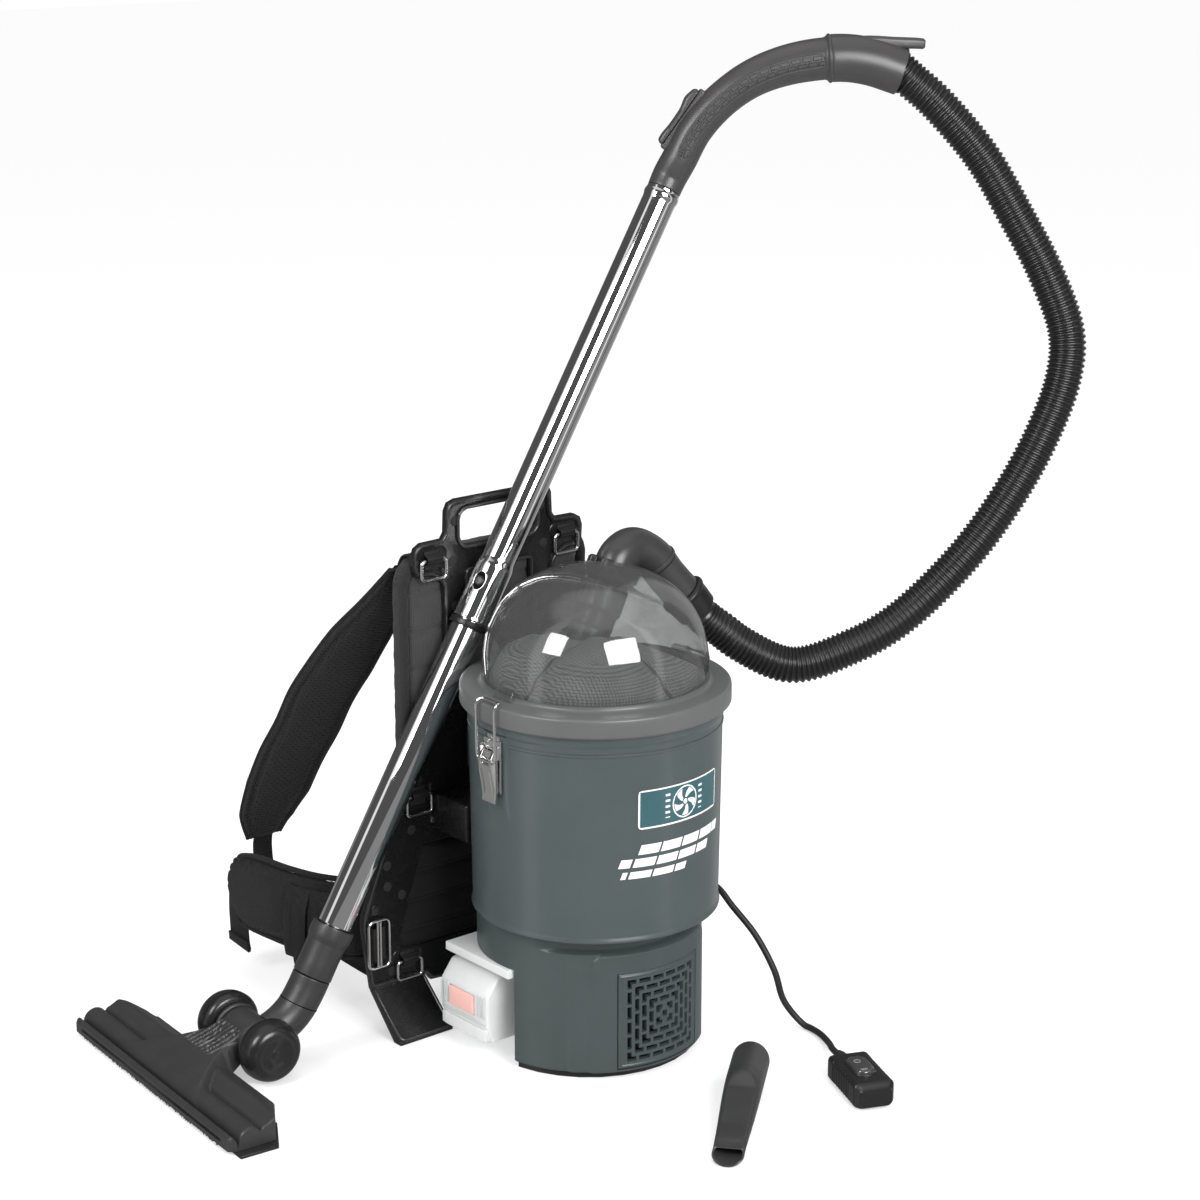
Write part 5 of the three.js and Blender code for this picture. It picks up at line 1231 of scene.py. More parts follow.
LP = {"top": (87, 495), "mid": (110.5, 247), "low": (127, 69.5)}
for n, (x_, z_) in LP.items():
    for s, sd in ((-1, "L"), (1, "R")):
        p = rrect(31, 20, 4, 6)
        P = [(s * x_ + a, 151.4, z_ - 10 + b) for a, b in p]
        loop_wire("wire_loop_%s_%s" % (n, sd), P, 1.8, [M["wire"]], "loop_%s_%s" % (n, sd), ("loop_%s_%s" % (n, sd),))
        # webbing that holds the loop, folded over its top bar and bolted into a slot in the plate
        wpts = [V(s * x_, 155.2, z_ - 10), V(s * x_, 153.9, z_ - 4), V(s * x_, 149.2, z_ - 2.2), V(s * x_, 148.0, z_ + 0.8), V(s * x_, 149.6, z_ + 3.4), V(s * x_, 153.9, z_ + 5.2), V(s * x_, 155.6, z_ + 9.0)]
        Pw = catmull(wpts, 30)
        sv, sf = sweep(Pw, rrect(1.0, 19, 0.4, 2), up=(1, 0, 0))
        make("loop_web_%s_%s" % (n, sd), sv, sf, [M["web_y"]], UNIT, (), 50)
        m = np.eye(4); m[:3, 0], m[:3, 1], m[:3, 2], m[:3, 3] = V(1, 0, 0), V(0, 0, 1), V(0, -1, 0), V(s * x_, 156.1, z_ + 4)
        rv = rrect(40, 17, 8, 8)
        rings = [xf(np.concatenate([rv * k_, np.full((len(rv), 1), h_)], 1), m) for k_, h_ in ((1.0, 0), (0.97, 1.0), (0.90, 1.3), (0.86, 0.4))]
        shell_loft("loop_boss_%s_%s" % (n, sd), rings, [M["plate"]], UNIT, (), 0, 50)

for s, sd in ((-1, "L"), (1, "R")):
    # three-bar buckle and its strap
    cx_, cz_ = s * 165.5, 97
    P = [(cx_ + a, 151.2, cz_ + b) for a, b in rrect(26, 52, 6, 6)]
    loop_wire("buckle_frame_" + sd, P, 1.7, [M["wire"]], UNIT, ("triglide_" + sd,))
    for i, dx in enumerate((-1.9, 1.9)):
        sv, sf = sweep(np.array([(cx_ + dx, 151.2, cz_ - 24.5), (cx_ + dx, 151.2, cz_ - 8), (cx_ + dx, 151.2, cz_ + 8), (cx_ + dx, 151.2, cz_ + 24.5)], float), circ(1.4, 12), up=(0, 1, 0))
        make("buckle_bar_%s_%d" % (sd, i), sv, sf, [M["wire"]], UNIT, (), 50)
    wp_ = catmull([V(cx_ - 9, 155.4, cz_), V(cx_ - 6, 150.4, cz_), V(cx_, 153.2, cz_), V(cx_ + 6, 150.4, cz_), V(cx_ + 9, 155.4, cz_)], 24)
    sv, sf = sweep(wp_, rrect(1.0, 36, 0.4, 2), up=(0, 0, 1))
    make("buckle_web_" + sd, sv, sf, [M["web"]], UNIT, (), 50)
    disc("plate_eye_" + sd, s * 165.5, 133, 156.05, 6.5, 1.0, M["plate"])

# ------------------------------------------------------------------ cloth
def cloth_pad(name, node, mat, body, cap, y_lo=None, voxel=5.0, shrink=1.0, pressure=4.0, seams=None, rep=True, sub=1, verts=None, faces=None):
    """A padded fabric piece: remeshed, inflated by a short cloth simulation, capped, subdivided, then sewn."""
    if verts is None:
        src = frame["nodes"][node]
        me = src.data.copy()
        o = bpy.data.objects.new(name, me)
        bpy.context.scene.collection.objects.link(o)
    else:
        o = make(name, verts, faces, mat, None, (), None)
        me = o.data
    bm = bmesh.new(); bm.from_mesh(o.data); bmesh.ops.remove_doubles(bm, verts=bm.verts, dist=2e-5)
    bmesh.ops.recalc_face_normals(bm, faces=bm.faces); bm.to_mesh(o.data); bm.free()
    md = o.modifiers.new("re", "REMESH"); md.mode = "VOXEL"; md.voxel_size = voxel / 1000
    bake(o)
    co = np.empty(len(o.data.vertices) * 3); o.data.vertices.foreach_get("co", co); co = co.reshape(-1, 3)
    rest = co.copy()
    c = (co.min(0) + co.max(0)) / 2
    co = c + (co - c) * shrink
    o.data.vertices.foreach_set("co", co.reshape(-1)); o.data.update()
    md = o.modifiers.new("cloth", "CLOTH")
    st = md.settings
    st.use_pressure = True; st.uniform_pressure_force = pressure
    st.effector_weights.gravity = 0.0
    st.quality = 4; st.mass = 0.3; st.tension_stiffness = 12; st.compression_stiffness = 12; st.bending_stiffness = 0.6
    md.collision_settings.use_collision = False
    sc = bpy.context.scene
    md.point_cache.frame_start, md.point_cache.frame_end = 1, 20
    for fr in range(1, 21):
        sc.frame_set(fr)
    bake(o)
    sc.frame_set(1)
    new = np.empty(len(o.data.vertices) * 3); o.data.vertices.foreach_get("co", new); new = new.reshape(-1, 3)
    dv = new - rest; ln = np.linalg.norm(dv, axis=1)
    new = rest + dv * np.minimum(1, (cap / 1000) / np.maximum(ln, 1e-9))[:, None]
    if y_lo is not None:
        new[:, 1] = np.maximum(new[:, 1], y_lo / 1000)
    o.data.vertices.foreach_set("co", new.reshape(-1)); o.data.update()
    if sub:
        md = o.modifiers.new("sub", "SUBSURF"); md.levels = sub; md.render_levels = sub
        bake(o)
    if seams is not None:
        co = np.empty(len(o.data.vertices) * 3); o.data.vertices.foreach_get("co", co); co = co.reshape(-1, 3) * 1000
        nr = np.empty(len(o.data.vertices) * 3); o.data.vertices.foreach_get("normal", nr); nr = nr.reshape(-1, 3)
        dep = seams(co, nr)
        co = co - nr * dep[:, None]
        if y_lo is not None:
            co[:, 1] = np.maximum(co[:, 1], y_lo)
        o.data.vertices.foreach_set("co", (co / 1000).reshape(-1)); o.data.update()
    o.data.materials.clear()
    for m_ in (mat if isinstance(mat, list) else [mat]):
        o.data.materials.append(m_)
    o.data.polygons.foreach_set("use_smooth", np.ones(len(o.data.polygons), bool))
    if body:
        place(o, body, (node,) if rep and node else ())
    return o


def grooves(lines, width, depth, axis=2):
    def f(co, nr):
        d = np.zeros(len(co))
        for c in lines:
            d = np.maximum(d, depth * np.exp(-((co[:, axis] - c) / width) ** 2))
        return d
    return f


def both_grooves(zs, xs, width, depth):
    def f(co, nr):
        d = np.zeros(len(co))
        for c in zs:
            d = np.maximum(d, depth * np.exp(-((co[:, 2] - c) / width) ** 2))
        for c in xs:
            d = np.maximum(d, depth * np.exp(-((np.abs(co[:, 0]) - c) / width) ** 2))
        return d * (np.abs(nr[:, 1]) > 0.35)
    return f


bp = cloth_pad("back_pad_cloth", "back_pad", [M["pad"], M["mesh_pad"]], UNIT, 7, 160.4, 5.5, 0.985, 4.0, both_grooves((260, 300, 340, 380, 420, 460), (), 3.6, 3.0))
fc = np.empty(len(bp.data.polygons) * 3); bp.data.polygons.foreach_get("center", fc); fc = fc.reshape(-1, 3)
bp.data.polygons.foreach_set("material_index", np.where(fc[:, 1] > 0.1745, 1, 0).astype(np.int32))
lp = cloth_pad("lumbar_pad_cloth", "lumbar_pad", [M["pad_dark"], M["mesh_pad"]], UNIT, 8, 160.4, 5.5, 0.985, 4.0, both_grooves((98, 129, 160), (), 3.8, 3.6))
fc = np.empty(len(lp.data.polygons) * 3); lp.data.polygons.foreach_get("center", fc); fc = fc.reshape(-1, 3)
lp.data.polygons.foreach_set("material_index", np.where(fc[:, 1] > 0.183, 1, 0).astype(np.int32))


def edge_loop(w, h, r, cx, cz, y, n=10):
    return np.array([(cx + a, y, cz + b) for a, b in rrect(w, h, r, n)], float)


def binding(name, P, ra, rb, mat, body):
    """A folded tape round a pad's edge: oval in section, ra across the pad's plane and rb along its thickness."""
    P = np.asarray(P, float)
    # even spacing
    Q = np.vstack([P, P[:1]]); d = np.r_[0, np.cumsum(np.linalg.norm(np.diff(Q, axis=0), axis=1))]
    n = int(d[-1] / 4); s_ = np.linspace(0, d[-1], n, endpoint=False)
    P = np.stack([np.interp(s_, d, Q[:, k]) for k in range(3)], 1)
    T = np.roll(P, -1, 0) - np.roll(P, 1, 0); T /= np.linalg.norm(T, axis=1)[:, None]
    yv = V(0, 1, 0)
    U = np.cross(T, yv); U /= np.linalg.norm(U, axis=1)[:, None]
    a = np.arange(20) * 2 * PI / 20
    se = np.sign(np.cos(a)) * np.abs(np.cos(a)) ** 0.7, np.sign(np.sin(a)) * np.abs(np.sin(a)) ** 0.7
    wob = 1 + 0.03 * np.sin(np.arange(n) * 0.9) + 0.02 * np.sin(np.arange(n) * 2.3)
    v = np.concatenate([P[i] + wob[i] * (np.outer(se[0] * ra, U[i]) + np.outer(se[1] * rb, yv)) for i in range(n)])
    return make(name, v, grid(n, 20, True, True), [mat], body, (), None)


def stitches(name, P, nrm, gap, length, r, body, mat=None, closed=True):
    """A row of short stitches along P, each lying on the cloth."""
    P = np.asarray(P, float); Q = np.vstack([P, P[:1]]) if closed else P
    d = np.r_[0, np.cumsum(np.linalg.norm(np.diff(Q, axis=0), axis=1))]
    n = int(d[-1] / gap)
    tv, tf = [], []
    Nn = np.asarray(nrm, float)
    for i in range(n):
        a_ = np.array([np.interp(i * gap, d, Q[:, k]) for k in range(3)]); b_ = np.array([np.interp(i * gap + length, d, Q[:, k]) for k in range(3)])
        if np.linalg.norm(b_ - a_) < 0.2:
            continue
        nn_ = Nn if Nn.ndim == 1 else Nn[min(len(Nn) - 1, int(i * gap / d[-1] * len(Nn)))]
        t = unit(b_ - a_); sd = unit(np.cross(t, nn_)); b0 = len(tv)
        for p_, k_ in ((a_, 0.1), (a_ * 0.75 + b_ * 0.25, 1), (a_ * 0.25 + b_ * 0.75, 1), (b_, 0.1)):
            for q_ in range(6):
                an = 2 * PI * q_ / 6
                tv.append(p_ + (sd * math.cos(an) * r * 1.2 + nn_ * math.sin(an) * r) * max(k_, 0.25) + nn_ * r * (k_ - 0.6))
        for s3 in range(3):
            tf += [(b0 + s3 * 6 + q_, b0 + s3 * 6 + (q_ + 1) % 6, b0 + (s3 + 1) * 6 + (q_ + 1) % 6, b0 + (s3 + 1) * 6 + q_) for q_ in range(6)]
    return make(name, np.array(tv), tf, [mat or M["thread"]], body, (), None)


binding("back_pad_binding", edge_loop(235, 297, 32, 0, 349, 169), 5.6, 8.8, M["binding"], UNIT)
stitches("back_pad_stitch_front", edge_loop(223, 285, 27, 0, 349, 160.5), (0, -1, 0), 4.2, 2.8, 0.45, UNIT)
stitches("back_pad_stitch_back", edge_loop(223, 285, 27, 0, 349, 178.8), (0, 1, 0), 4.2, 2.8, 0.45, UNIT)
binding("lumbar_binding", edge_loop(294, 122, 28, 0, 129, 174), 5.6, 9.5, M["pad_dark"], UNIT)
for i, zc in enumerate((98, 129, 160)):
    stitches("lumbar_channel_%d" % i, [(-128, 161.6, zc), (0, 161.8, zc), (128, 161.6, zc)], (0, -1, 0), 4.0, 2.6, 0.4, UNIT, None, False)

# ------------------------------------------------------------------ shoulder straps
sp = [V(-91, 190, 480), V(-97, 220, 441), V(-103, 260, 396), V(-108, 292, 355), V(-110, 327, 313), V(-112, 352, 273), V(-114, 382, 232), V(-115, 408, 190), V(-116, 432, 150), V(-116, 439, 124)]
sw = [52, 62, 70, 72, 72, 72, 72, 72, 64, 46]
sth = [14, 17, 20, 20, 20, 20, 20, 20, 17, 14]; stw = [0, 8, 18, 25, 28, 28, 28, 25, 14, 0]
Ps0 = catmull(sp, 180); wv0 = np.interp(np.arange(181) / 20.0, range(10), sw)
Ps, ss, ws = resample(Ps0, 3.0, wv0)
_, _, thk = resample(Ps0, 3.0, np.interp(np.arange(181) / 20.0, range(10), sth))
_, _, twi = resample(Ps0, 3.0, np.interp(np.arange(181) / 20.0, range(10), stw)); twi = np.radians(twi)
Tst, Ast, Bst = frames(Ps, (1, 0, 0))
A0, B0 = Ast.copy(), Bst.copy()
Ast = A0 * np.cos(twi)[:, None] - B0 * np.sin(twi)[:, None]
Bst = A0 * np.sin(twi)[:, None] + B0 * np.cos(twi)[:, None]


def strap_sec(i, n=44):
    w_ = ws[i] - 3.0; T = thk[i] - 1.0
    endk = min(1.0, 0.45 + 0.55 * math.sqrt(min(1.0, min(ss[i], ss[-1] - ss[i]) / 22.0)))
    pts = []
    a = np.arange(n) * 2 * PI / n
    for q_ in a:
        c_, s_ = math.cos(q_), math.sin(q_)
        x_ = np.sign(c_) * abs(c_) ** 0.75 * (T / 2) * endk
        y_ = np.sign(s_) * abs(s_) ** 0.55 * (w_ / 2)
        # a sewn line 8 mm in from each edge pulls the padding down
        e_ = w_ / 2 - abs(y_)
        x_ *= 1 - 0.42 * math.exp(-((e_ - 7.5) / 2.6) ** 2)
        x_ *= 1 - 0.05 * (0.5 + 0.5 * math.sin(ss[i] * 0.11)) * (1 if abs(y_) < w_ / 3 else 0)
        ca_, sa_ = math.cos(twi[i]), math.sin(twi[i])
        pts.append((x_ * ca_ + y_ * sa_, -x_ * sa_ + y_ * ca_))
    return np.array(pts)


sv, sf = sweep(Ps, strap_sec, up=(1, 0, 0))
pip = []
for sgn in (-1, 1):
    pip.append(np.array([Ps[i] + Bst[i] * sgn * (ws[i] / 2 - 2.0) for i in range(len(Ps))]))
web_c, _ = resample(catmull([V(-116, 438, 132), V(-117, 441, 110), V(-122, 425, 76), V(-132, 360, 56), V(-140, 270, 50), V(-146, 200, 50), V(-147, 168, 50)], 90), 3.0)
wsv, wsf = sweep(web_c, rrect(1.8, 25, 0.7, 2), up=(1, 0, 0))
# webbing sewn along the outside of the pad, and its wearer side mesh
Aout = Ast if (Ast[len(Ast) // 2] @ V(0, 1, 1)) > 0 else -Ast
wl = np.array([Ps[i] + Aout[i] * (thk[i] / 2 - 0.5) for i in range(1, len(Ps) - 1)])
osv, osf = sweep(wl, rrect(1.6, 25, 0.6, 2), up=(1, 0, 0))
bk = [Ps[-1] + V(0, 2, 4), Ps[-1] + V(0, 3, -14)]
for s, sd in ((1, "L"), (-1, "R")):
    fx = (lambda v_: np.asarray(v_)) if s > 0 else mirror_x
    ff = (lambda F_: F_) if s > 0 else flip
    make("strap_pad_" + sd, fx(sv), ff(sf), [M["mesh"]], UNIT, ("strap_" + sd,), 60)
    make("strap_webbing_" + sd, fx(osv), ff(osf), [M["web"]], UNIT, (), 50)
    make("strap_tail_" + sd, fx(wsv), ff(wsf), [M["web"]], UNIT, (), 50)
    for i, pp in enumerate(pip):
        pv, pf = sweep(pp, circ(2.5, 14), up=(1, 0, 0))
        make("strap_piping_%s_%d" % (sd, i), fx(pv), ff(pf), [M["piping"]], UNIT, (), 60)
    for i, sgn in enumerate((-1, 1)):
        line = np.array([Ps[k_] + Bst[k_] * sgn * (ws[k_] / 2 - 9) - Aout[k_] * (thk[k_] * 0.29) for k_ in range(2, len(Ps) - 2)])
        stitches("strap_stitch_%s_%d" % (sd, i), fx(line), fx(-Aout[2:-2]), 4.4, 2.8, 0.45, UNIT, None, False)
        line = np.array([Ps[k_] + Aout[k_] * (thk[k_] / 2 + 0.4) + Bst[k_] * sgn * 10.5 for k_ in range(4, len(Ps) - 4)])
        stitches("strap_webstitch_%s_%d" % (sd, i), fx(line), fx(Aout[4:-4]), 4.4, 2.8, 0.4, UNIT, None, False)
    # the strap's top is sewn under the back pad's edge
    tv_, tf_ = sweep(catmull([V(-91, 182, 487), V(-90, 176, 497), V(-89, 168, 500), V(-90, 159, 496), V(-92, 155.4, 488)], 24), rrect(2.4, 40, 1.0, 3), up=(1, 0, 0))
    make("strap_top_" + sd, fx(tv_), ff(tf_), [M["web"]], UNIT, (), 50)

# ------------------------------------------------------------------ waist belt wings
bpath, bs_, bh = resample(catmull([V(-155, 178, 116), V(-172, 190, 115), V(-188, 222, 113), V(-196, 270, 110), V(-194, 320, 105), V(-188, 365, 97), V(-182, 405, 87)], 90), 4.0,
                          np.interp(np.arange(91) / 10.0, range(10), [78, 86, 88, 88, 88, 88, 88, 86, 80, 58]))
Lb = bs_[-1]


def belt_half(i):
    e_ = Lb - bs_[i]
    k_ = math.sqrt(max(0.0, 1 - max(0.0, (34 - e_) / 34.0) ** 2))
    return max(4.0, bh[i] / 2 * (0.15 + 0.85 * k_)) if e_ < 34 else bh[i] / 2


def belt_sec(i):
    h_ = belt_half(i) - 1.5
    return rrect(10.4, 2 * h_, 4.4 if h_ > 5 else 1.5, 4)


bvv, bff = sweep(bpath, belt_sec, up=(0, 0, 1))


def belt_seams(co, nr):
    d = np.zeros(len(co))
    dd_ = np.linalg.norm(co[:, None, :] - bpath[None, ::3, :], axis=2)
    j = dd_.argmin(1) * 3
    up_ = co[:, 2] - bpath[j, 2]
    hh_ = np.array([belt_half(min(k_, len(bpath) - 1)) for k_ in range(len(bpath))])[j]
    e_ = hh_ - np.abs(up_)
    d = 1.7 * np.exp(-((e_ - 9) / 2.2) ** 2)
    ch = np.abs(np.mod(bs_[j] + 9, 38) - 19)
    d = np.maximum(d, 1.4 * np.exp(-(ch / 2.2) ** 2) * (e_ > 9))
    return d * (np.abs(nr[:, 2]) < 0.8)


bl = cloth_pad("belt_pad_L", "belt_L", [M["belt"], M["mesh_pad"]], None, 3.2, None, 4.5, 0.99, 4.0, belt_seams, True, 1, bvv, bff)
Tb, Ab, Bb_ = frames(bpath, (0, 0, 1))
fc = np.empty(len(bl.data.polygons) * 3); bl.data.polygons.foreach_get("normal", fc); fc = fc.reshape(-1, 3)
bl.data.polygons.foreach_set("material_index", np.where(fc[:, 0] > 0.45, 1, 0).astype(np.int32))
co = np.empty(len(bl.data.vertices) * 3); bl.data.vertices.foreach_get("co", co); co = co.reshape(-1, 3) * 1000
polys = [tuple(p.vertices) for p in bl.data.polygons]; mi = [p.material_index for p in bl.data.polygons]
br = make("belt_pad_R", mirror_x(co), flip(polys), [M["belt"], M["mesh_pad"]], "belt_R", ("belt_R",), None, mi)
place(bl, "belt_L", ("belt_L",))
# belt edge piping all round, pouch loops and a hanging tail
edge = [bpath[i] + V(0, 0, belt_half(i) - 0.6) for i in range(len(bpath))] + [bpath[i] - V(0, 0, belt_half(i) - 0.6) for i in range(len(bpath) - 1, -1, -1)]
edge = np.array(edge)
outn = -Ab if Ab[len(Ab) // 2][0] > 0 else Ab        # points away from the wearer, towards -X on the left
wb = np.array([bpath[i] + outn[i] * 8.4 + V(0, 0, 2) for i in range(4, len(bpath) - 4)])
wbv, wbf = sweep(wb, rrect(1.8, 38, 0.7, 2), up=(0, 0, 1))
tail_p = catmull([V(-186.5, 384, 92), V(-187, 385, 70), V(-186, 386, 50), V(-184.5, 387, 34), V(-183, 387, 26)], 30)
tlv, tlf = sweep(tail_p, rrect(1.8, 36, 0.6, 2), up=(0, 1, 0))
hem = catmull([V(-187.2, 386, 38), V(-186.2, 386.4, 30), V(-185.2, 387, 26.5)], 8)
hmv, hmf = sweep(hem, rrect(3.8, 36.6, 0.9, 2), up=(0, 1, 0))
for s, sd in ((1, "L"), (-1, "R")):
    fx = (lambda v_: np.asarray(v_)) if s > 0 else mirror_x
    ff = (lambda F_: F_) if s > 0 else flip
    bdy = "belt_" + sd
    pv, pf = sweep(np.vstack([edge, edge[:1]]), circ(3.2, 12), up=None, caps=False)
    make("belt_piping_" + sd, fx(pv), ff(pf), [M["piping"]], bdy, (), None)
    make("belt_tail_" + sd, fx(tlv), ff(tlf), [M["web"]], bdy, (), 50)
    make("belt_tail_hem_" + sd, fx(hmv), ff(hmf), [M["web"]], bdy, (), 50)
    # folded elastic loops that hang on the outside of the belt
    for i, (yy, zlo, wd, lean) in enumerate(((252, 62, 19, 3), (238, 56, 19, 6), (222, 58, 20, 3), (205, 64, 18, 5))):
        k_ = int(np.argmin(np.abs(bpath[:, 1] - yy)))
        c = bpath[k_] + outn[k_] * 8.5
        P = catmull([c + V(0, 0, 30) + outn[k_] * 0.5, c + V(0, 1, 8) + outn[k_] * (lean + 2), c + V(0, 2, zlo - c[2] + 16) + outn[k_] * (lean + 3), c + V(0, 2, zlo - c[2]) + outn[k_] * lean,
                     c + V(0, 1, zlo - c[2] + 12) + outn[k_] * (lean - 4), c + V(0, 0, 18) + outn[k_] * (-1)], 40)
        lv_, lf_ = sweep(P, rrect(1.6, wd, 0.6, 2), up=tuple(Tb[k_]))
        make("pouch_loop_%s_%d" % (sd, i), fx(lv_), ff(lf_), [M["web"]], bdy, (), 50)

# ------------------------------------------------------------------ power lead and switch
cp = [V(102, 47.5, 131), V(113, 51.5, 132), V(128, 44, 140), V(139, 5, 142), V(139.5, -34, 138), V(141.2, -53.2, 124), V(150.4, -80.6, 96.5), V(156, -104.6, 62), V(163, -112, 29), V(176, -129, 4.2), V(175, -150, 3.8), V(162, -180, 6), V(146, -202, 11), V(138.2, -217.5, 13)]
Pc, _ = resample(catmull(cp, 260), 2.0)
for _i in range(6):
    Pc[1:-1] = 0.5 * Pc[1:-1] + 0.25 * (Pc[:-2] + Pc[2:])
Pc[:, 2] = np.maximum(Pc[:, 2], 3.5)
sv, sf = sweep(Pc, circ(3.4, 20))
make("lead_sheath", sv, sf, [M["rubber"]], UNIT, ("power_cable",), 60)
mg_ = frame_z(V(109, 50, 131), V(1, 0.36, 0))
mswx = unit(V(0.396, 0.918, 0)); mswy = unit(V(-0.918, 0.396, 0))
msw = np.eye(4); msw[:3, 0], msw[:3, 1], msw[:3, 3] = mswx, mswy, V(97, -313, 0)
# body with ribbed flanks
rings = []
for x_ in np.linspace(0, 85, 86):
    e_ = min(x_, 85 - x_)
    wd = 21.5 - 5.0 * (1 - smoothstep(0, 9, e_))
    ribz = 1.15 * (0.5 + 0.5 * math.cos(2 * PI * (x_ - 20) / 6.4)) if 20 < x_ < 66 else 0
    h_ = 26 - 5.0 * (1 - smoothstep(0, 10, e_)) ** 1.5
    b_ = 0.6 + 2.2 * (1 - smoothstep(0, 4, e_))
    rr_ = []
    for cxx, czz, a0 in ((1, 1, 0), (-1, 1, 90), (-1, 0, 180), (1, 0, 270)):
        for i in range(7):
            a = math.radians(a0 + 90 * i / 6)
            rad_ = 5.0
            yy = cxx * (wd - rad_ - ribz) + rad_ * math.cos(a)
            z2 = (h_ - rad_ if czz else b_ + rad_) + rad_ * math.sin(a)
            rr_.append((x_, yy, z2))
    rings.append(xf(np.array(rr_, float), msw))
o = shell_loft("switch_case", rings, [M["dark"]], None, (), 0, 60)
cv_, cf_ = [], []
pp = rrect(40, 21.5, 10.5, 8)
kq = len(pp)
for zq in (20.6, 32):
    cv_ += [tuple(xf(np.array([[43 + a, b, zq]]), msw)[0]) for a, b in pp]
cf_ = [(i, (i + 1) % kq, kq + (i + 1) % kq, kq + i) for i in range(kq)] + [tuple(range(kq - 1, -1, -1)), tuple(kq + i for i in range(kq))]
subtract(o, cutter("c4", cv_, cf_))
o.data.set_sharp_from_angle(angle=math.radians(45))
place(o, UNIT, ("switch_housing",))
refine("switch_rocker", M["gripdark"], 0.8, 3)
P = [tuple(xf(np.array([[43 + a, b, 25.7]]), msw)[0]) for a, b in rrect(41, 22.5, 11, 8)]
loop_wire("switch_bezel", P, 1.3, [M["dark"]], UNIT, (), 10)
rings = []
for k_, h_ in ((1.0, 25.6), (0.99, 28.1), (0.95, 29.6), (0.84, 30.3), (0.4, 30.5), (0.02, 30.55)):
    rings.append(xf(np.array([(43 + a * k_, b * k_, h_) for a, b in rrect(39, 20.5, 10, 8)], float), msw))
kq = len(rings[0])
make("switch_cover", np.concatenate(rings), grid(len(rings), kq, False, True), [M["boot"]], UNIT, (), None)
sv, sf = box_vf(-1.0, 1.0, -3.4, 3.4, 27.3, 28.3)
make("rocker_mark_line", xf(sv + V(33.5, 0, 0.35), msw), sf, [M["glyph"]], "rocker", (), 30)
P = [tuple(xf(np.array([[52.5 + 3.2 * math.cos(a), 3.2 * math.sin(a), 28.2]]), msw)[0]) for a in np.arange(28) * 2 * PI / 28]
loop_wire("rocker_mark_ring", P, 0.55, [M["glyph"]], "rocker", (), 8)
mr_ = frame_z(xf(np.array([[84.5, 0, 13]]), msw)[0], mswx)
lathe_at("strain_relief", [(0.05, 0), (8.4, 0), (8.0, 3), (7.0, 4), (7.6, 6), (6.6, 7.5), (7.2, 9.5), (6.2, 11), (6.7, 13), (5.6, 15), (5.2, 19), (3.6, 19.6)], mr_, [M["rubber"]], UNIT, (), 40, False, 0.7, 3)
lathe_at("lead_grommet", [(3.5, 0), (7.6, 0), (7.6, 3), (6.0, 5), (5.4, 12), (4.0, 13), (3.5, 13)], frame_z(V(104.5, 48.4, 131), V(1, 0.36, 0)), [M["rubber"]], UNIT, (), 40, True, 0.6, 3)

# ------------------------------------------------------------------ crevice tool
ca, cb = V(52, -181, 21), V(-99, -309, 8.4)
dl = cb - ca; Lc = np.linalg.norm(dl); dh = unit(V(dl[0], dl[1], 0)); sh_ = V(-dh[1], dh[0], 0)
st = np.array([[0, 20, 20, 20.5], [0.27, 20, 20, 20.4], [0.34, 20.1, 19.4, 19.7], [0.45, 20.5, 17, 17.4], [0.7, 21.5, 11, 11.4], [1, 22, 7.4, 7.8]])
n_t, n_a = 110, 56
ts = np.linspace(0, 1, n_t)
ext, inn = [], []
aa_ = np.arange(n_a) * 2 * PI / n_a


def crev(t, inset):
    rx = np.interp(t, st[:, 0], st[:, 1]) * (0.95 - 0.24 * smoothstep(0.25, 0.95, t)) - inset; rz = np.interp(t, st[:, 0], st[:, 2]) - inset
    zc = np.interp(t, st[:, 0], st[:, 3])
    c_ = np.array([ca[0] + dl[0] * t, ca[1] + dl[1] * t, zc])
    y_ = np.cos(aa_) * rx; z_ = np.sin(aa_) * rz
    # the upper face is scooped flat past the spigot
    flat = smoothstep(0.30, 0.42, t)
    lim_ = rz - (rz * 0.34 + 0.9) * flat
    edge_ = np.where(z_ > lim_, lim_ + (z_ - lim_) * (1 - flat), z_)
    z_ = edge_
    xo = np.zeros(n_a)
    # slanted mouth: the top is cut back
    back = smoothstep(0.80, 1.0, t) * 24 * np.clip((z_ + rz) / (2 * max(rz, 0.1)), 0, 1) * (t > 0.8)
    return c_ + np.outer(y_, sh_) + np.outer(z_, V(0, 0, 1)) - np.outer(back, dh)


ext = [crev(t, 0) for t in ts]; inn = [crev(t, 1.8) for t in ts[::-1]]
ext[0] = crev(0, 0.6)
v = np.concatenate(ext + inn)
v[:, 2] = np.maximum(v[:, 2], 0.5)
make("crevice_shell", v, grid(2 * n_t, n_a, True, True), [M["nozzle"]], "crevice", ("crevice_tool",), 45)

# ------------------------------------------------------------------ small fixings on the plate side of the pack
for i, (x_, z_) in enumerate(((-30, 60), (30, 60), (-70, 215), (70, 215), (-70, 238), (70, 238))):
    m = np.eye(4); m[:3, 0], m[:3, 1], m[:3, 2], m[:3, 3] = V(1, 0, 0), V(0, 0, 1), V(0, -1, 0), V(x_, 155.9, z_)
    if abs(x_) < 60:
        continue
    disc("plate_screw_%d" % i, x_ * 1.28, z_, 156.05, 4.0, 1.6, M["steel"], UNIT, 24)

# ------------------------------------------------------------------ anything not yet dressed keeps its CAD shape
left = [n for n, o in frame["nodes"].items() if not o.hide_render]
for n in left:
    ob = frame["nodes"][n]
    ob.data.materials.clear(); ob.data.materials.append(M["dark"])

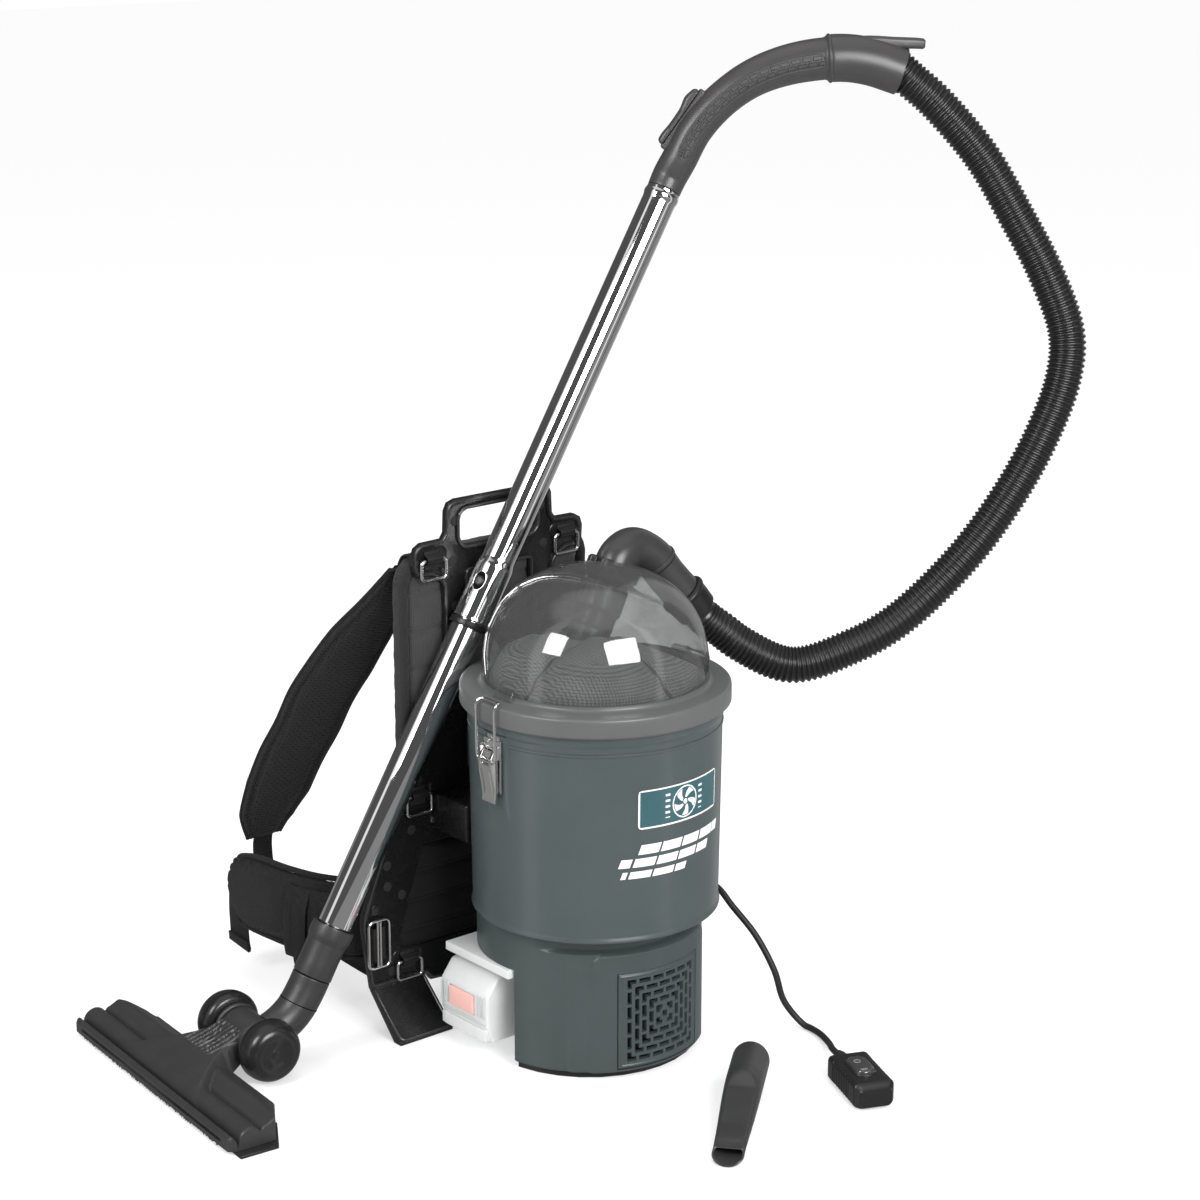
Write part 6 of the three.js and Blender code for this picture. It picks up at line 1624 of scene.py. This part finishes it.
# ------------------------------------------------------------------ floor, light, camera
me = bpy.data.meshes.new("floor"); s_ = 14.0
me.from_pydata([(-s_, -s_, -0.0006), (s_, -s_, -0.0006), (s_, s_, -0.0006), (-s_, s_, -0.0006)], [], [(0, 1, 2, 3)])
floor = bpy.data.objects.new("floor", me); bpy.context.scene.collection.objects.link(floor)
fm_, nt, out = new_mat("floor_pale")
co_ = coords(nt)
fd_ = nt.nodes.new("ShaderNodeBsdfDiffuse"); fd_.inputs["Color"].default_value = (0.60, 0.60, 0.60, 1)
fe_ = nt.nodes.new("ShaderNodeEmission"); fe_.inputs["Strength"].default_value = 0.46
fa_ = nt.nodes.new("ShaderNodeAddShader"); L(nt, fd_.outputs[0], fa_.inputs[0]); L(nt, fe_.outputs[0], fa_.inputs[1]); L(nt, fa_.outputs[0], out.inputs[0])
floor.visible_glossy = False
me.materials.append(fm_)

world = bpy.data.worlds.new("studio"); bpy.context.scene.world = world
world.use_nodes = True
nt = world.node_tree; nt.nodes.clear()
wo = nt.nodes.new("ShaderNodeOutputWorld"); bg = nt.nodes.new("ShaderNodeBackground")
tc = nt.nodes.new("ShaderNodeTexCoord").outputs["Generated"]
sep = nt.nodes.new("ShaderNodeSeparateXYZ"); L(nt, tc, sep.inputs[0])
# a dark studio with two tall soft strips and a pale ceiling, seen only in reflections
azim = mathn(nt, "ARCTAN2", sep.outputs[1], sep.outputs[0])


def strip(center_deg, half_deg, soft=0.05):
    c_ = math.radians(center_deg)
    d_ = mathn(nt, "ABSOLUTE", mathn(nt, "WRAP", mathn(nt, "SUBTRACT", azim, c_), PI, -PI))
    mr = nt.nodes.new("ShaderNodeMapRange"); mr.clamp = True
    mr.inputs["From Min"].default_value = math.radians(half_deg) + soft; mr.inputs["From Max"].default_value = math.radians(half_deg) - soft
    mr.inputs["To Min"].default_value = 0; mr.inputs["To Max"].default_value = 1
    L(nt, d_, mr.inputs["Value"])
    return mr.outputs[0]


lit = mathn(nt, "MAXIMUM", mathn(nt, "MAXIMUM", strip(-62, 5), strip(168, 9)), mathn(nt, "MULTIPLY", strip(20, 14), 0.5))
top_ = nt.nodes.new("ShaderNodeMapRange"); top_.inputs["From Min"].default_value = 0.80; top_.inputs["From Max"].default_value = 0.90
L(nt, sep.outputs[2], top_.inputs["Value"])
g_ = mathn(nt, "MAXIMUM", mathn(nt, "MULTIPLY", lit, 0.95), mathn(nt, "MULTIPLY", top_.outputs[0], 0.75))
g_ = mathn(nt, "MAXIMUM", g_, 0.09)
low = nt.nodes.new("ShaderNodeMapRange"); low.inputs["From Min"].default_value = 0.02; low.inputs["From Max"].default_value = -0.02
L(nt, sep.outputs[2], low.inputs["Value"])
g_ = mathn(nt, "MAXIMUM", g_, mathn(nt, "MULTIPLY", low.outputs[0], 0.27))
lp_ = nt.nodes.new("ShaderNodeLightPath")
mixv = nt.nodes.new("ShaderNodeMix"); mixv.data_type = "FLOAT"
L(nt, lp_.outputs["Is Glossy Ray"], mixv.inputs[0]); mixv.inputs[2].default_value = 0.85; L(nt, g_, mixv.inputs[3])
mixc = nt.nodes.new("ShaderNodeMix"); mixc.data_type = "FLOAT"
L(nt, lp_.outputs["Is Camera Ray"], mixc.inputs[0]); L(nt, mixv.outputs[0], mixc.inputs[2]); mixc.inputs[3].default_value = 1.0
L(nt, mixc.outputs[0], bg.inputs["Strength"]); bg.inputs["Color"].default_value = (1, 1, 1, 1)
L(nt, bg.outputs[0], wo.inputs[0])


def area(name, loc, target, size, power, size_y=None):
    d = bpy.data.lights.new(name, "AREA"); d.energy = power; d.shape = "RECTANGLE"; d.size = size; d.size_y = size_y or size
    o = bpy.data.objects.new(name, d); bpy.context.scene.collection.objects.link(o)
    o.location = loc
    o.rotation_euler = (Vector(target) - Vector(loc)).to_track_quat("-Z", "Y").to_euler()
    return o


tgt = (0.05, 0.0, 0.42)
area("key_box", (-0.39, -2.2, 1.54), tgt, 1.25, 46, 0.9).visible_glossy = False
area("key_window", (-0.39, -2.2, 1.50), tgt, 1.45, 74, 1.3).visible_diffuse = False
area("left_box", (-2.25, 0.35, 1.85), tgt, 0.7, 26, 1.0).visible_glossy = False
area("left_window", (-2.2, -0.1, 1.80), tgt, 0.9, 38, 1.15).visible_diffuse = False
area("right_strip", (2.2, -1.3, 1.3), tgt, 0.5, 14, 1.3).visible_glossy = False
area("top_box", (0.2, 0.6, 2.9), tgt, 1.6, 22, 1.6).visible_glossy = False

cam_d = bpy.data.cameras.new("camera"); cam = bpy.data.objects.new("camera", cam_d)
bpy.context.scene.collection.objects.link(cam)
cam_d.sensor_width = 36; cam_d.lens = 85; cam_d.clip_start = 0.05; cam_d.clip_end = 100
cam.location = (-1.748, -2.083, 1.234)
pitch, hx, hy = math.radians(15.7), 0.643, 0.766
yaw = math.radians(-0.088)
hx, hy = hx * math.cos(yaw) - hy * math.sin(yaw), hx * math.sin(yaw) + hy * math.cos(yaw)
dirv = Vector((hx * math.cos(pitch), hy * math.cos(pitch), -math.sin(pitch)))
cam.rotation_euler = dirv.to_track_quat("-Z", "Y").to_euler()
bpy.context.scene.camera = cam
bpy.context.scene.view_settings.view_transform = "Standard"
bpy.context.scene.view_settings.look = "None"
